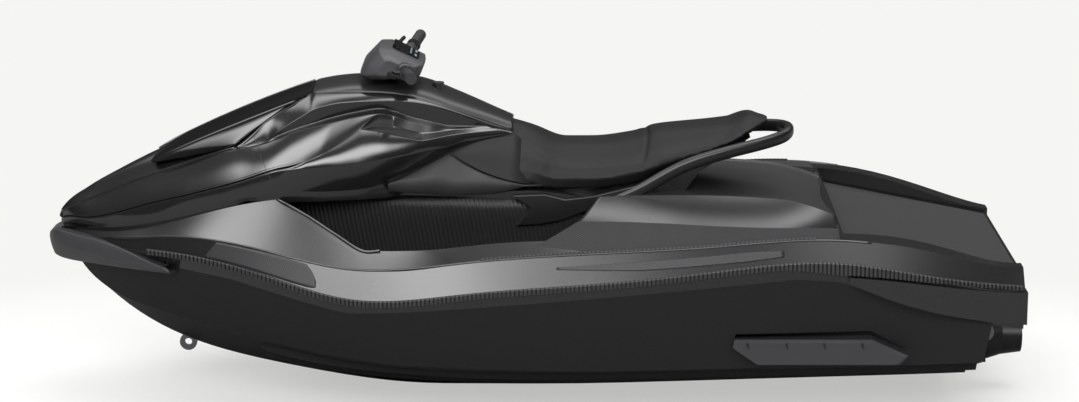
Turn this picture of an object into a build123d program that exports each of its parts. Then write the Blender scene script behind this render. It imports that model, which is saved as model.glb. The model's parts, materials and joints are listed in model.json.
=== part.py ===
"""Electric personal watercraft: hull, deck, cowl, saddle, steering and water jet as separate pieces.

Frame: millimetres, +X forward to the bow, +Y to port, +Z up.
The origin is amidships on the centreline, at the waterline.
"""

import math
import os

from build123d import *

# Overall sizes
HALF_LENGTH = 1450.0
HALF_BEAM = 585.0

# Gaps between pieces
SEAM = 0.4
SHUT_LINE = 6.0
NOSE_GAP = 12.0
RUNNING_FIT = 0.25

# Hull and deck sections from bow to stern. Columns along and the _out columns are shares of
# HALF_LENGTH and HALF_BEAM, and the _up columns are heights above the waterline in millimetres.
STATION_COLUMNS = (
    "along", "keel_up", "chine_out", "chine_up", "rail_out", "rail_up",
    "gunwale_out", "gunwale_up", "shoulder_out", "shoulder_up", "crown_up",
)
STATION_ROWS = (
    (0.946, 140, 0.050, 152, 0.100, 200, 0.090, 222, 0.060, 228, 230),
    (0.855, -5, 0.160, 40, 0.350, 212, 0.325, 236, 0.285, 248, 252),
    (0.731, -116, 0.300, -5, 0.550, 219, 0.515, 266, 0.425, 296, 302),
    (0.552, -195, 0.530, -38, 0.772, 193, 0.725, 262, 0.535, 372, 380),
    (0.359, -248, 0.727, -66, 0.923, 135, 0.865, 222, 0.545, 386, 392),
    (0.138, -268, 0.812, -80, 0.990, 160, 0.910, 247, 0.390, 378, 384),
    (-0.138, -267, 0.838, -82, 1.000, 194, 0.910, 275, 0.385, 352, 356),
    (-0.345, -257, 0.838, -76, 0.992, 226, 0.906, 292, 0.370, 300, 303),
    (-0.586, -243, 0.817, -73, 0.957, 246, 0.865, 306, 0.370, 309, 311),
    (-0.793, -233, 0.786, -70, 0.880, 192, 0.795, 258, 0.370, 262, 264),
    (-0.966, -225, 0.720, -70, 0.730, 146, 0.655, 196, 0.370, 200, 202),
)
STATIONS = [dict(zip(STATION_COLUMNS, row)) for row in STATION_ROWS]

# Line where the hull and the deck are bonded, as (along, up) from bow to stern
BOND_LINE = (
    (1.05, 126), (0.76, 180), (0.60, 163), (0.372, 95), (0.069, 130),
    (-0.511, 206), (-0.593, 196), (-0.709, 130), (-0.897, 52), (-1.05, -10),
)
BOND_RADIUS = 150.0
BELOW_HULL = -400.0
ABOVE_ALL = 1200.0

# Footwells: plan as (along, out), sunk between the saddle's pedestal and the gunwale
FOOTWELL_PLAN = (
    (0.545, 0.380), (0.507, 0.555), (0.341, 0.783), (0.207, 0.788), (-0.410, 0.788), (-0.410, 0.380),
)
FOOTWELL_FLOOR_UP = 85.0
FOOTWELL_WALL = 14.0
FOOTWELL_FLOOR_WALL = 50.0
RAMP_FOOT_ALONG = 0.10
RAMP_TOP_ALONG = -0.225
RAMP_TOP_UP = 330.0

# Boarding tray at the stern
TRAY_FRONT_ALONG = -0.605
TRAY_FRONT_UP = 262.0
TRAY_BACK_UP = 168.0
TRAY_FRONT_OUT = 0.72
TRAY_BACK_OUT = 0.56

# Front storage bin under the hood
BIN_FRONT_ALONG = 0.780
BIN_BACK_ALONG = 0.575
BIN_OUT = 0.290
BIN_FLOOR_UP = 205.0


def along(share):
    """Distance forward of amidships for a share of the half length."""
    return share * HALF_LENGTH


def out(share):
    """Distance from the centreline for a share of the half beam."""
    return share * HALF_BEAM


def at(column, x):
    """A station column's value at x, straight between neighbouring stations."""
    share = x / HALF_LENGTH
    for ahead, astern in zip(STATIONS, STATIONS[1:]):
        if share >= astern["along"] or astern is STATIONS[-1]:
            part = (ahead["along"] - share) / (ahead["along"] - astern["along"])
            return ahead[column] + part * (astern[column] - ahead[column])


def mirrored(half):
    """A closed ring of (out, up) points from its port half, which runs from keel to crown."""
    return half + [(-y, z) for y, z in reversed(half) if y > 0]


def section_loft(rows):
    """A solid skinned over closed rings of (out, up) points, one (x, ring) pair for each section."""
    with BuildPart() as body:
        for x, ring in rows:
            with BuildSketch(Plane(origin=(x, 0, 0), x_dir=(0, 1, 0), z_dir=(1, 0, 0))):
                with BuildLine():
                    Polyline(*ring, close=True)
                make_face()
        loft()
    return body.part


def side_prism(ring, near=-2000.0, far=2000.0, radius=0.0):
    """A prism across the craft, between two distances to port, from a side outline of (x, z) points."""
    with BuildPart() as tool:
        with BuildSketch(Plane(origin=(0, near, 0), x_dir=(-1, 0, 0), z_dir=(0, 1, 0))):
            with BuildLine():
                points = [(-x, z) for x, z in ring]
                if radius:
                    FilletPolyline(*points, radius=radius, close=True)
                else:
                    Polyline(*points, close=True)
            make_face()
        extrude(amount=far - near)
    return tool.part


def plan_prism(rings, low, high, grow=0.0):
    """A prism between two heights whose plan is one or more rings of (x, y) points, grown all round."""
    with BuildPart() as tool:
        with BuildSketch(Plane.XY.offset(low)):
            for ring in rings:
                with BuildLine():
                    Polyline(*ring, close=True)
                make_face()
            if grow:
                offset(amount=grow, kind=Kind.INTERSECTION)
        extrude(amount=high - low)
    return tool.part


def both_sides(ring):
    """A port ring of (x, y) points and its starboard twin."""
    return [ring, [(x, -y) for x, y in reversed(ring)]]


def block(x_range, y_range, z_range):
    """A rectangular block between two corners."""
    spans = [high - low for low, high in (x_range, y_range, z_range)]
    with BuildPart() as body:
        with BuildSketch(Plane.XY.offset(z_range[0])):
            with Locations((sum(x_range) / 2, sum(y_range) / 2)):
                Rectangle(spans[0], spans[1])
        extrude(amount=spans[2])
    return body.part


def rod(start, end, radius):
    """A round bar from one point to another."""
    span = Vector(*end) - Vector(*start)
    with BuildPart() as bar:
        with BuildSketch(Plane(origin=start, z_dir=span)):
            Circle(radius)
        extrude(amount=span.length)
    return bar.part


def turned(profile, axis_up):
    """A solid turned about the fore-and-aft axis at a height, from a ring of (x, radius) points."""
    with BuildPart() as body:
        with BuildSketch(Plane(origin=(0, 0, axis_up), x_dir=(1, 0, 0), z_dir=(0, -1, 0))):
            with BuildLine():
                Polyline(*profile, close=True)
            make_face()
        revolve(axis=Axis((0, 0, axis_up), (1, 0, 0)))
    return body.part


pieces = {}
SIDES = {"left": 1, "right": -1}


def keep(name, shape):
    """Labels a finished piece and puts it on the list to write."""
    shape.label = name
    pieces[name] = shape


def half_space(side):
    """Everything on one side of the centreline, for parting a piece made for both sides."""
    reach = sorted((0, side * 2 * HALF_BEAM))
    return block((-2 * HALF_LENGTH, 2 * HALF_LENGTH), reach, (BELOW_HULL, ABOVE_ALL))


def skin(grow):
    """The outside of hull and deck together, grown all round by a small amount."""
    rows = []
    for s in STATIONS:
        end = {STATIONS[0]["along"]: grow, STATIONS[-1]["along"]: -grow}.get(s["along"], 0.0)
        rows.append((along(s["along"]) + end, mirrored([
            (0, s["keel_up"] - grow),
            (out(s["chine_out"]) + grow, s["chine_up"] - grow),
            (out(s["rail_out"]) + grow, s["rail_up"]),
            (out(s["gunwale_out"]) + grow, s["gunwale_up"] + grow),
            (out(s["shoulder_out"]), s["shoulder_up"] + grow),
            (0, s["crown_up"] + grow),
        ])))
    return section_loft(rows)


envelope = skin(0.0)
outer_skin = skin(SEAM)


def below_bond(drop):
    """Everything under the bond line, lowered a little to leave the glue gap."""
    line = [(along(a), up - drop) for a, up in BOND_LINE]
    return side_prism(line + [(line[-1][0], BELOW_HULL), (line[0][0], BELOW_HULL)], radius=BOND_RADIUS)


footwell_plan = both_sides([(along(a), out(o)) for a, o in FOOTWELL_PLAN])
liner_plan = footwell_plan + [[
    (along(FOOTWELL_PLAN[0][0]), -out(0.4)), (along(FOOTWELL_PLAN[0][0]), out(0.4)),
    (along(-0.410), out(0.4)), (along(-0.410), -out(0.4)),
]]
LINER_FLOOR_UP = FOOTWELL_FLOOR_UP - FOOTWELL_FLOOR_WALL

# Water jet: pump tunnel, intake and shaft line
SHAFT_UP = -113.0
SHAFT_RADIUS = 12.0
TUNNEL_FRONT = along(-0.690)
TUNNEL_HALF = 108.0
TUNNEL_TOP_UP = -8.0
INTAKE_RADIUS = 80.0
INTAKE_SLOPE = 25.0
TRANSOM_TOP = (along(-0.902), 60.0)
TRANSOM_FOOT = (along(-0.865), -260.0)

# Heavy pieces inside the hull
BATTERY_X = (along(-0.110), along(0.345))
BATTERY_HALF = 200.0
BATTERY_HEADROOM = 10.0
BATTERY_UP = (-125.0, LINER_FLOOR_UP - BATTERY_HEADROOM)
MOTOR_X = (along(-0.330), along(-0.175))
MOTOR_RADIUS = 75.0
BAY_GAP = 6.0

tunnel = block((-2 * HALF_LENGTH, TUNNEL_FRONT), (-TUNNEL_HALF, TUNNEL_HALF), (BELOW_HULL, TUNNEL_TOP_UP))
slope = math.radians(INTAKE_SLOPE)
INTAKE_REACH = 700.0
intake = rod(
    (TUNNEL_FRONT, 0, SHAFT_UP),
    (TUNNEL_FRONT + INTAKE_REACH * math.cos(slope), 0, SHAFT_UP - INTAKE_REACH * math.sin(slope)),
    INTAKE_RADIUS,
)
behind_transom = side_prism([
    TRANSOM_TOP, (TRANSOM_TOP[0], 400), (-2 * HALF_LENGTH, 400), (-2 * HALF_LENGTH, BELOW_HULL),
    (TRANSOM_FOOT[0], BELOW_HULL), TRANSOM_FOOT,
])
battery_bay = block(
    (BATTERY_X[0] - BAY_GAP, BATTERY_X[1] + BAY_GAP), (-BATTERY_HALF - BAY_GAP, BATTERY_HALF + BAY_GAP),
    (BATTERY_UP[0] - SEAM, LINER_FLOOR_UP + 20),
)
motor_bay = block(
    (MOTOR_X[0] - BAY_GAP, MOTOR_X[1] + BAY_GAP), (-MOTOR_RADIUS - BAY_GAP, MOTOR_RADIUS + BAY_GAP),
    (SHAFT_UP - MOTOR_RADIUS - SEAM, LINER_FLOOR_UP + 20),
)
shaft_bore = rod((TUNNEL_FRONT, 0, SHAFT_UP), (MOTOR_X[1], 0, SHAFT_UP), SHAFT_RADIUS + RUNNING_FIT)

# Sponsons on the hull sides, as (x, z) rings, with the wider recess they sit in
SPONSON_RING = (
    (-0.372, 4), (-0.387, 20), (-0.660, 20), (-0.732, -28), (-0.710, -62), (-0.435, -62),
)
SPONSON_RECESS_RING = (
    (-0.386, -4), (-0.392, 36), (-0.657, 40), (-0.735, -26), (-0.716, -52), (-0.436, -52),
)
SPONSON_FACE_OUT = 0.905
SPONSON_RECESS_OUT = 0.815
sponson_ring = [(along(a), up) for a, up in SPONSON_RING]
recess_ring = [(along(a), up) for a, up in SPONSON_RECESS_RING]

# Lifting strakes under the hull: share of the way from keel to chine, where the edge hangs, and its drop
STRAKES = ((0.36, 0.46, 16.0), (0.70, 0.80, 18.0))
STRAKE_ROOT = 12.0


def strake(inner, outer, drop):
    """A long wedge under both sides of the hull that sheds spray at its outer edge."""
    rows = []
    for s in STATIONS[3:]:
        ring = []
        for share, lower in ((inner, 0.0), (outer, drop), (outer, -STRAKE_ROOT), (inner, -STRAKE_ROOT)):
            rise = s["chine_up"] - s["keel_up"]
            ring.append((out(s["chine_out"]) * share, s["keel_up"] + rise * share - lower))
        rows.append((along(s["along"]), ring))
    return section_loft(rows)


with BuildPart() as hull:
    add(envelope)
    add(below_bond(SEAM), mode=Mode.INTERSECT)
    for inner, outer, drop in STRAKES:
        wedge = strake(inner, outer, drop)
        add(wedge)
        add(wedge.mirror(Plane.XZ))
    add(plan_prism(liner_plan, LINER_FLOOR_UP, ABOVE_ALL, FOOTWELL_WALL + SEAM), mode=Mode.SUBTRACT)
    add(battery_bay, mode=Mode.SUBTRACT)
    add(motor_bay, mode=Mode.SUBTRACT)
    add(behind_transom, mode=Mode.SUBTRACT)
    add(tunnel, mode=Mode.SUBTRACT)
    add(intake, mode=Mode.SUBTRACT)
    add(shaft_bore, mode=Mode.SUBTRACT)
    for near, far in ((SPONSON_RECESS_OUT, 2), (-2, -SPONSON_RECESS_OUT)):
        add(side_prism(recess_ring, out(near), out(far)), mode=Mode.SUBTRACT)
keep("hull", hull.part)

# Deck
ramp = [
    (along(0.60), FOOTWELL_FLOOR_UP), (along(0.60), ABOVE_ALL), (along(RAMP_TOP_ALONG), ABOVE_ALL),
    (along(RAMP_TOP_ALONG), RAMP_TOP_UP), (along(RAMP_FOOT_ALONG), FOOTWELL_FLOOR_UP),
]
tray_fall = (TRAY_FRONT_UP - TRAY_BACK_UP) / (along(TRAY_FRONT_ALONG) - along(-1))


def tray_floor(x):
    """Height of the sloping tray floor."""
    return TRAY_FRONT_UP - tray_fall * (along(TRAY_FRONT_ALONG) - x)


tray_side = [
    (along(TRAY_FRONT_ALONG), ABOVE_ALL), (along(TRAY_FRONT_ALONG), TRAY_FRONT_UP),
    (along(-1.2), tray_floor(along(-1.2))), (along(-1.2), ABOVE_ALL),
]
tray_plan = [
    (along(TRAY_FRONT_ALONG), -out(TRAY_FRONT_OUT)), (along(TRAY_FRONT_ALONG), out(TRAY_FRONT_OUT)),
    (along(-1), out(TRAY_BACK_OUT)), (along(-1.2), out(TRAY_BACK_OUT)),
    (along(-1.2), -out(TRAY_BACK_OUT)), (along(-1), -out(TRAY_BACK_OUT)),
]
with BuildPart() as tray:
    add(side_prism(tray_side))
    add(plan_prism([tray_plan], 0, ABOVE_ALL), mode=Mode.INTERSECT)
with BuildPart() as footwells:
    add(side_prism(ramp))
    add(plan_prism(footwell_plan, 0, ABOVE_ALL), mode=Mode.INTERSECT)
storage_bin = block(
    (along(BIN_BACK_ALONG), along(BIN_FRONT_ALONG)), (-out(BIN_OUT), out(BIN_OUT)), (BIN_FLOOR_UP, ABOVE_ALL)
)
with BuildPart() as liner:
    add(plan_prism(liner_plan, LINER_FLOOR_UP, ABOVE_ALL, FOOTWELL_WALL))
    add(envelope, mode=Mode.INTERSECT)
with BuildPart() as deck:
    add(envelope)
    add(below_bond(0), mode=Mode.SUBTRACT)
    add(liner.part)
    add(footwells.part, mode=Mode.SUBTRACT)
    add(tray.part, mode=Mode.SUBTRACT)
    add(storage_bin, mode=Mode.SUBTRACT)
keep("deck", deck.part)

# Bow bumper: half width and heights of the band at sections from the stem aft
BOW_BUMPER_COLUMNS = ("along", "half_width", "low_up", "high_up")
BOW_BUMPER_ROWS = (
    (1.003, 10, 188, 214),
    (0.982, 48, 158, 228),
    (0.946, 74, 138, 232),
    (0.855, 214, 148, 229),
    (0.765, 297, 172, 208),
)
# Rub rails: how far each reaches below and above the rail line, which widens into a wedge by the stern
RUB_RAIL_COLUMNS = ("along", "below", "above")
RUB_RAIL_ROWS = (
    (0.764, 8, 9), (0.731, 10, 10), (0.552, 11, 11), (0.359, 11, 11), (0.138, 11, 11), (-0.138, 11, 11),
    (-0.345, 11, 11), (-0.586, 26, 11), (-0.793, 9, 9), (-0.966, 6, 6),
)
RUB_RAIL_PROUD = 9.0
# Stern bumper: depth of the band under the rub rail
STERN_BUMPER_COLUMNS = ("along", "low_up", "high_up", "proud")
STERN_BUMPER_ROWS = (
    (-0.610, 196, 212, 5), (-0.793, 96, 176, 10), (-0.900, 58, 148, 11), (-0.972, 38, 134, 8),
)

bumper_rows = []
for row in BOW_BUMPER_ROWS:
    s = dict(zip(BOW_BUMPER_COLUMNS, row))
    bumper_rows.append((along(s["along"]), [
        (-s["half_width"], s["low_up"]), (s["half_width"], s["low_up"]),
        (s["half_width"], s["high_up"]), (-s["half_width"], s["high_up"]),
    ]))
with BuildPart() as bow_bumper:
    add(section_loft(bumper_rows))
    add(outer_skin, mode=Mode.SUBTRACT)
keep("bow_bumper", bow_bumper.part)

rail_top, rail_foot = [], []
for row in RUB_RAIL_ROWS:
    s = dict(zip(RUB_RAIL_COLUMNS, row))
    x = along(s["along"])
    up = at("rail_up", x)
    rail_top.append((x, up + s["above"]))
    rail_foot.append((x, up - s["below"]))
with BuildPart() as rub_rail:
    add(skin(RUB_RAIL_PROUD))
    add(side_prism(rail_top + rail_foot[::-1], near=0.0), mode=Mode.INTERSECT)
    add(outer_skin, mode=Mode.SUBTRACT)
keep("rub_rail_left", rub_rail.part)
keep("rub_rail_right", rub_rail.part.mirror(Plane.XZ))

stern_rows = []
for row in STERN_BUMPER_ROWS:
    s = dict(zip(STERN_BUMPER_COLUMNS, row))
    x = along(s["along"])
    edge = out(at("rail_out", x)) + s["proud"]
    stern_rows.append((x, [(-edge, s["low_up"]), (edge, s["low_up"]), (edge, s["high_up"]), (-edge, s["high_up"])]))
with BuildPart() as stern_bumper:
    add(section_loft(stern_rows))
    add(outer_skin, mode=Mode.SUBTRACT)
keep("stern_bumper", stern_bumper.part)

# Cowl sections from nose to saddle: shares along and out, heights in millimetres
COWL_COLUMNS = (
    "along", "floor_up", "base_out", "base_up", "belt_out", "belt_up", "edge_out", "edge_up", "crown_up",
)
COWL_ROWS = (
    (0.969, 252, 0.050, 254, 0.068, 264, 0.046, 288, 294),
    (0.897, 215, 0.168, 226, 0.192, 262, 0.120, 340, 360),
    (0.793, 235, 0.350, 262, 0.380, 318, 0.188, 425, 446),
    (0.690, 285, 0.470, 300, 0.499, 372, 0.231, 500, 518),
    (0.586, 330, 0.544, 345, 0.561, 430, 0.256, 572, 590),
    (0.455, 340, 0.590, 415, 0.590, 480, 0.274, 650, 668),
    (0.345, 340, 0.573, 440, 0.564, 505, 0.256, 668, 684),
    (0.207, 345, 0.496, 440, 0.479, 510, 0.205, 630, 648),
    (0.041, 340, 0.350, 430, 0.325, 470, 0.171, 545, 556),
)
COWL_WALL = 14.0
# Side line of the hood's edge, (along, up) from the nose aft
HOOD_LINE = ((0.948, 200), (0.948, 288), (0.610, 505), (0.452, 662), (0.452, 760))
PANEL_SPLIT = ((0.574, 545), (0.519, 380))
CONSOLE_PLAN = ((0.560, 0.256), (0.345, 0.240), (0.207, 0.190), (0.0, 0.140))


def cowl(grow, open_floor=0.0):
    """The cowl's outside, grown or shrunk; an open floor drops the underside by that much."""
    rows = []
    for row in COWL_ROWS:
        s = dict(zip(COWL_COLUMNS, row))
        end = {COWL_ROWS[0][0]: grow, COWL_ROWS[-1][0]: -grow}.get(s["along"], 0.0)
        rows.append((along(s["along"]) + end, mirrored([
            (0, s["floor_up"] - grow - open_floor),
            (out(s["base_out"]) + grow, s["base_up"] - open_floor),
            (out(s["belt_out"]) + grow, s["belt_up"]),
            (out(s["edge_out"]) + grow * 0.6, s["edge_up"] + grow * 0.8),
            (0, s["crown_up"] + grow),
        ])))
    return section_loft(rows)


def above_line(line, shift):
    """Everything above a side line of (along, up) points, with the line moved up or down."""
    points = [(along(a), up + shift) for a, up in line]
    return side_prism([(2 * HALF_LENGTH, points[0][1])] + points + [(2 * HALF_LENGTH, points[-1][1])])


cowl_outer = cowl(0.0)
cowl_inner = cowl(-COWL_WALL, open_floor=60.0)
hood_region = above_line(HOOD_LINE, 0.0)
hood_and_gap = side_prism(
    [(2 * HALF_LENGTH, HOOD_LINE[0][1])]
    + [(along(a) - NOSE_GAP, up - SHUT_LINE) for a, up in HOOD_LINE[:2]]
    + [(along(a) - SHUT_LINE, up - SHUT_LINE) for a, up in HOOD_LINE[2:-1]]
    + [(along(HOOD_LINE[-1][0]) - SHUT_LINE, ABOVE_ALL), (2 * HALF_LENGTH, ABOVE_ALL)]
)
split_top, split_foot = [(along(a), up) for a, up in PANEL_SPLIT]
lean = (split_top[0] - split_foot[0]) / (split_top[1] - split_foot[1])


def split_at(up, shift):
    """A point of the leaning joint between the nose panel and the side fairing."""
    return (split_foot[0] + lean * (up - split_foot[1]) + shift, up)


ahead_of_split = side_prism([
    split_at(0, SEAM), split_at(ABOVE_ALL, SEAM), (2 * HALF_LENGTH, ABOVE_ALL), (2 * HALF_LENGTH, 0),
])
behind_split = side_prism([
    split_at(0, 0), split_at(ABOVE_ALL, 0), (-2 * HALF_LENGTH, ABOVE_ALL), (-2 * HALF_LENGTH, 0),
])
console_half = [(along(a), out(o)) for a, o in CONSOLE_PLAN]


def console_plan(grow):
    """Plan of the top console between the side fairings."""
    half = [(x, y + grow) for x, y in console_half]
    return plan_prism([half + [(x, -y) for x, y in reversed(half)]], 0, ABOVE_ALL)


# Hood hinge at the nose
HINGE_X = along(0.964)
HINGE_UP = 250.0
HINGE_PIN_RADIUS = 4.0
KNUCKLE_RADIUS = 8.0
KNUCKLE_HALF = 10.0
EAR_THICK = 7.0
HINGE_ROOM = 15.0
PLATE_HALF = 22.0
PLATE_THICK = 5.0
PLATE_X = (along(0.916), along(0.971))

with BuildPart() as hood:
    add(cowl_outer)
    add(hood_region, mode=Mode.INTERSECT)
    add(cowl_inner, mode=Mode.SUBTRACT)
    add(
        rod((HINGE_X, -2 * PLATE_HALF, HINGE_UP), (HINGE_X, 2 * PLATE_HALF, HINGE_UP), HINGE_ROOM),
        mode=Mode.SUBTRACT,
    )
    knuckle_side = [
        (HINGE_X - KNUCKLE_RADIUS, HINGE_UP), (HINGE_X + KNUCKLE_RADIUS * 0.6, HINGE_UP),
        (HINGE_X + KNUCKLE_RADIUS * 0.3, HINGE_UP + 38), (HINGE_X - KNUCKLE_RADIUS, HINGE_UP + 38),
    ]
    add(side_prism(knuckle_side, -KNUCKLE_HALF, KNUCKLE_HALF))
    add(rod((HINGE_X, -KNUCKLE_HALF, HINGE_UP), (HINGE_X, KNUCKLE_HALF, HINGE_UP), KNUCKLE_RADIUS))
    add(
        rod((HINGE_X, -PLATE_HALF, HINGE_UP), (HINGE_X, PLATE_HALF, HINGE_UP), HINGE_PIN_RADIUS + RUNNING_FIT),
        mode=Mode.SUBTRACT,
    )
keep("hood", hood.part)

ear_near = KNUCKLE_HALF + SEAM
bumper_top = BOW_BUMPER_ROWS[2][3]
with BuildPart() as hood_hinge:
    add(block(PLATE_X, (-PLATE_HALF, PLATE_HALF), (bumper_top + SEAM, bumper_top + SEAM + PLATE_THICK)))
    for side in SIDES.values():
        near, far = sorted((side * ear_near, side * (ear_near + EAR_THICK)))
        add(rod((HINGE_X, near, HINGE_UP), (HINGE_X, far, HINGE_UP), KNUCKLE_RADIUS))
        add(block((HINGE_X - KNUCKLE_RADIUS, HINGE_X + KNUCKLE_RADIUS), (near, far), (bumper_top + 1, HINGE_UP)))
    pin_end = ear_near + EAR_THICK
    add(rod((HINGE_X, -pin_end, HINGE_UP), (HINGE_X, pin_end, HINGE_UP), HINGE_PIN_RADIUS))
    add(outer_skin, mode=Mode.SUBTRACT)
keep("hood_hinge", hood_hinge.part)

# Glossy visor over the upper part of the hood
VISOR_PROUD = 6.0
VISOR_LINE = ((0.790, 395), (0.745, 440), (0.610, 545), (0.480, 660), (0.480, 760))
with BuildPart() as visor:
    add(cowl(VISOR_PROUD + SEAM))
    add(side_prism(
        [(along(a), up) for a, up in VISOR_LINE] + [(along(0.790), ABOVE_ALL)]
    ), mode=Mode.INTERSECT)
    add(cowl(SEAM), mode=Mode.SUBTRACT)
keep("visor", visor.part)

with BuildPart() as nose_panels:
    add(cowl_outer)
    add(cowl_inner, mode=Mode.SUBTRACT)
    add(hood_and_gap, mode=Mode.SUBTRACT)
    add(ahead_of_split, mode=Mode.INTERSECT)
    add(outer_skin, mode=Mode.SUBTRACT)
    over_bumper = (BELOW_HULL, BOW_BUMPER_ROWS[2][3] + SEAM)
    add(block((along(0.85), 2 * HALF_LENGTH), (-HALF_BEAM, HALF_BEAM), over_bumper), mode=Mode.SUBTRACT)
with BuildPart() as fairings:
    add(cowl_outer)
    add(hood_and_gap, mode=Mode.SUBTRACT)
    add(behind_split, mode=Mode.INTERSECT)
    add(console_plan(SEAM), mode=Mode.SUBTRACT)
    add(outer_skin, mode=Mode.SUBTRACT)

# Side vents let into the fairings: outline on the sloping face, as distances forward and down the slope
VENT_AT = (along(0.276), out(0.4103), 588.0)
VENT_FACE = (0.0, 0.67, 0.742)
VENT_RING = ((92, -4), (49, -63), (-83, 18), (-72, 49))
VENT_DEPTH = 24.0
VENT_PLATE = 4.0
VENT_SLATS = 5
SLAT_THICK = 3.0
SLAT_TALL = 14.0


def vent_plane(lift):
    """The port vent's sloping face, raised or sunk along its own normal."""
    face = Vector(*VENT_FACE)
    return Plane(origin=Vector(*VENT_AT) + face * lift, x_dir=(1, 0, 0), z_dir=face)


with BuildPart() as vent_pocket:
    with BuildSketch(vent_plane(-VENT_DEPTH)):
        with BuildLine():
            Polyline(*VENT_RING, close=True)
        make_face()
    extrude(amount=VENT_DEPTH * 4)
with BuildPart() as side_vent:
    with BuildSketch(vent_plane(SEAM - VENT_DEPTH)):
        with BuildLine():
            Polyline(*VENT_RING, close=True)
        make_face()
        offset(amount=-SEAM, kind=Kind.INTERSECTION)
    extrude(amount=VENT_PLATE)
    with BuildSketch(vent_plane(SEAM - VENT_DEPTH)) as slats:
        with GridLocations(26, 1, VENT_SLATS, 1):
            Rectangle(SLAT_THICK, 200, rotation=-35)
        with BuildLine(mode=Mode.PRIVATE) as rim:
            Polyline(*VENT_RING, close=True)
        add(offset(make_face(rim.edges(), mode=Mode.PRIVATE), -SEAM, mode=Mode.PRIVATE), mode=Mode.INTERSECT)
    extrude(amount=VENT_PLATE + SLAT_TALL)
keep("side_vent_left", side_vent.part)
keep("side_vent_right", side_vent.part.mirror(Plane.XZ))

for name, side in SIDES.items():
    with BuildPart() as nose_panel:
        add(nose_panels.part)
        add(half_space(side), mode=Mode.INTERSECT)
    keep(f"nose_panel_{name}", nose_panel.part)
    pocket = vent_pocket.part if side > 0 else vent_pocket.part.mirror(Plane.XZ)
    with BuildPart() as side_fairing:
        add(fairings.part)
        add(half_space(side), mode=Mode.INTERSECT)
        add(pocket, mode=Mode.SUBTRACT)
    keep(f"side_fairing_{name}", side_fairing.part)

# Steering: the column leans aft and turns in the console
STEER_AT = Vector(along(0.293), 0, 682)
STEER_TILT = 11.0
STEER_AXIS = Vector(-math.sin(math.radians(STEER_TILT)), 0, math.cos(math.radians(STEER_TILT)))
COLUMN_RADIUS = 18.0
COLUMN_SUNK = 170.0
COLUMN_IN_POD = 30.0
POD_GAP = 12.0
# Pod sections from front to back: distance ahead of the column, half width and top
POD_COLUMNS = ("ahead", "half_width", "top_up")
POD_ROWS = ((90, 58, 712), (66, 84, 738), (34, 94, 770), (4, 93, 783), (-46, 88, 756), (-98, 78, 727))
# Screen plate on the pod's aft slope
SCREEN_AHEAD = -44.0
SCREEN_UP = 760.0
SCREEN_SLOPE = 29.0
SCREEN_SIZE = (84.0, 104.0)
SCREEN_THICK = 8.0
# Handlebar: bend and tip of the port half, relative to the column
BAR_BEND = Vector(STEER_AT.X - 36, 84, 718)
BAR_TIP = Vector(STEER_AT.X - 72, 345, 740)
BAR_RADIUS = 11.0
GRIP_RADIUS = 17.0
GRIP_LENGTH = 122.0
GRIP_CAP = 4.0
SWITCH_RADIUS = 24.0
SWITCH_SPAN = (42.0, 92.0)
PERCH_RADIUS = 18.0
PERCH_SPAN = (96.0, 118.0)
LEVER_RADIUS = 6.0
LEVER_AHEAD = 52.0
LEVER_SPAN = 235.0


def pod_floor(x):
    """Height of the pod's underside, which is square to the column."""
    return STEER_AT.Z + POD_GAP + math.tan(math.radians(STEER_TILT)) * (x - STEER_AT.X)


def from_column(distance):
    """A point on the column's axis, measured upwards from where it leaves the console."""
    return tuple(STEER_AT + STEER_AXIS * distance)


with BuildPart() as console:
    add(cowl_outer)
    add(console_plan(0), mode=Mode.INTERSECT)
    add(hood_and_gap, mode=Mode.SUBTRACT)
    add(outer_skin, mode=Mode.SUBTRACT)
    add(
        rod(from_column(-COLUMN_SUNK - SHUT_LINE), from_column(POD_GAP), COLUMN_RADIUS + RUNNING_FIT),
        mode=Mode.SUBTRACT,
    )
keep("console", console.part)

with BuildPart() as steering_column:
    add(rod(from_column(-COLUMN_SUNK), from_column(COLUMN_IN_POD), COLUMN_RADIUS))
keep("steering_column", steering_column.part)

screen_tilt = math.radians(SCREEN_SLOPE)
screen_out = Vector(-math.sin(screen_tilt), 0, math.cos(screen_tilt))
screen_plane = Plane(
    origin=(STEER_AT.X + SCREEN_AHEAD, 0, SCREEN_UP),
    x_dir=(math.cos(screen_tilt), 0, math.sin(screen_tilt)),
    z_dir=screen_out,
)


def screen_plate(grow):
    """The screen's rounded plate, let half its thickness into the pod."""
    with BuildPart() as plate:
        with BuildSketch(screen_plane.offset(-SCREEN_THICK / 2 - grow)):
            RectangleRounded(SCREEN_SIZE[0] + 2 * grow, SCREEN_SIZE[1] + 2 * grow, 12)
        extrude(amount=SCREEN_THICK + 2 * grow)
    return plate.part


def bar_run(grow):
    """The bent handlebar tube, whole across the craft."""
    with BuildPart() as run:
        with BuildLine() as route:
            FilletPolyline(
                tuple(BAR_TIP), tuple(BAR_BEND), (BAR_BEND.X, -BAR_BEND.Y, BAR_BEND.Z),
                (BAR_TIP.X, -BAR_TIP.Y, BAR_TIP.Z), radius=60,
            )
        with BuildSketch(Plane(origin=BAR_TIP, z_dir=BAR_BEND - BAR_TIP)):
            Circle(BAR_RADIUS + grow)
        sweep(path=route.line)
    return run.part


handlebar = bar_run(0.0)
bar_room = bar_run(SEAM)
keep("handlebar", handlebar)

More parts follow.
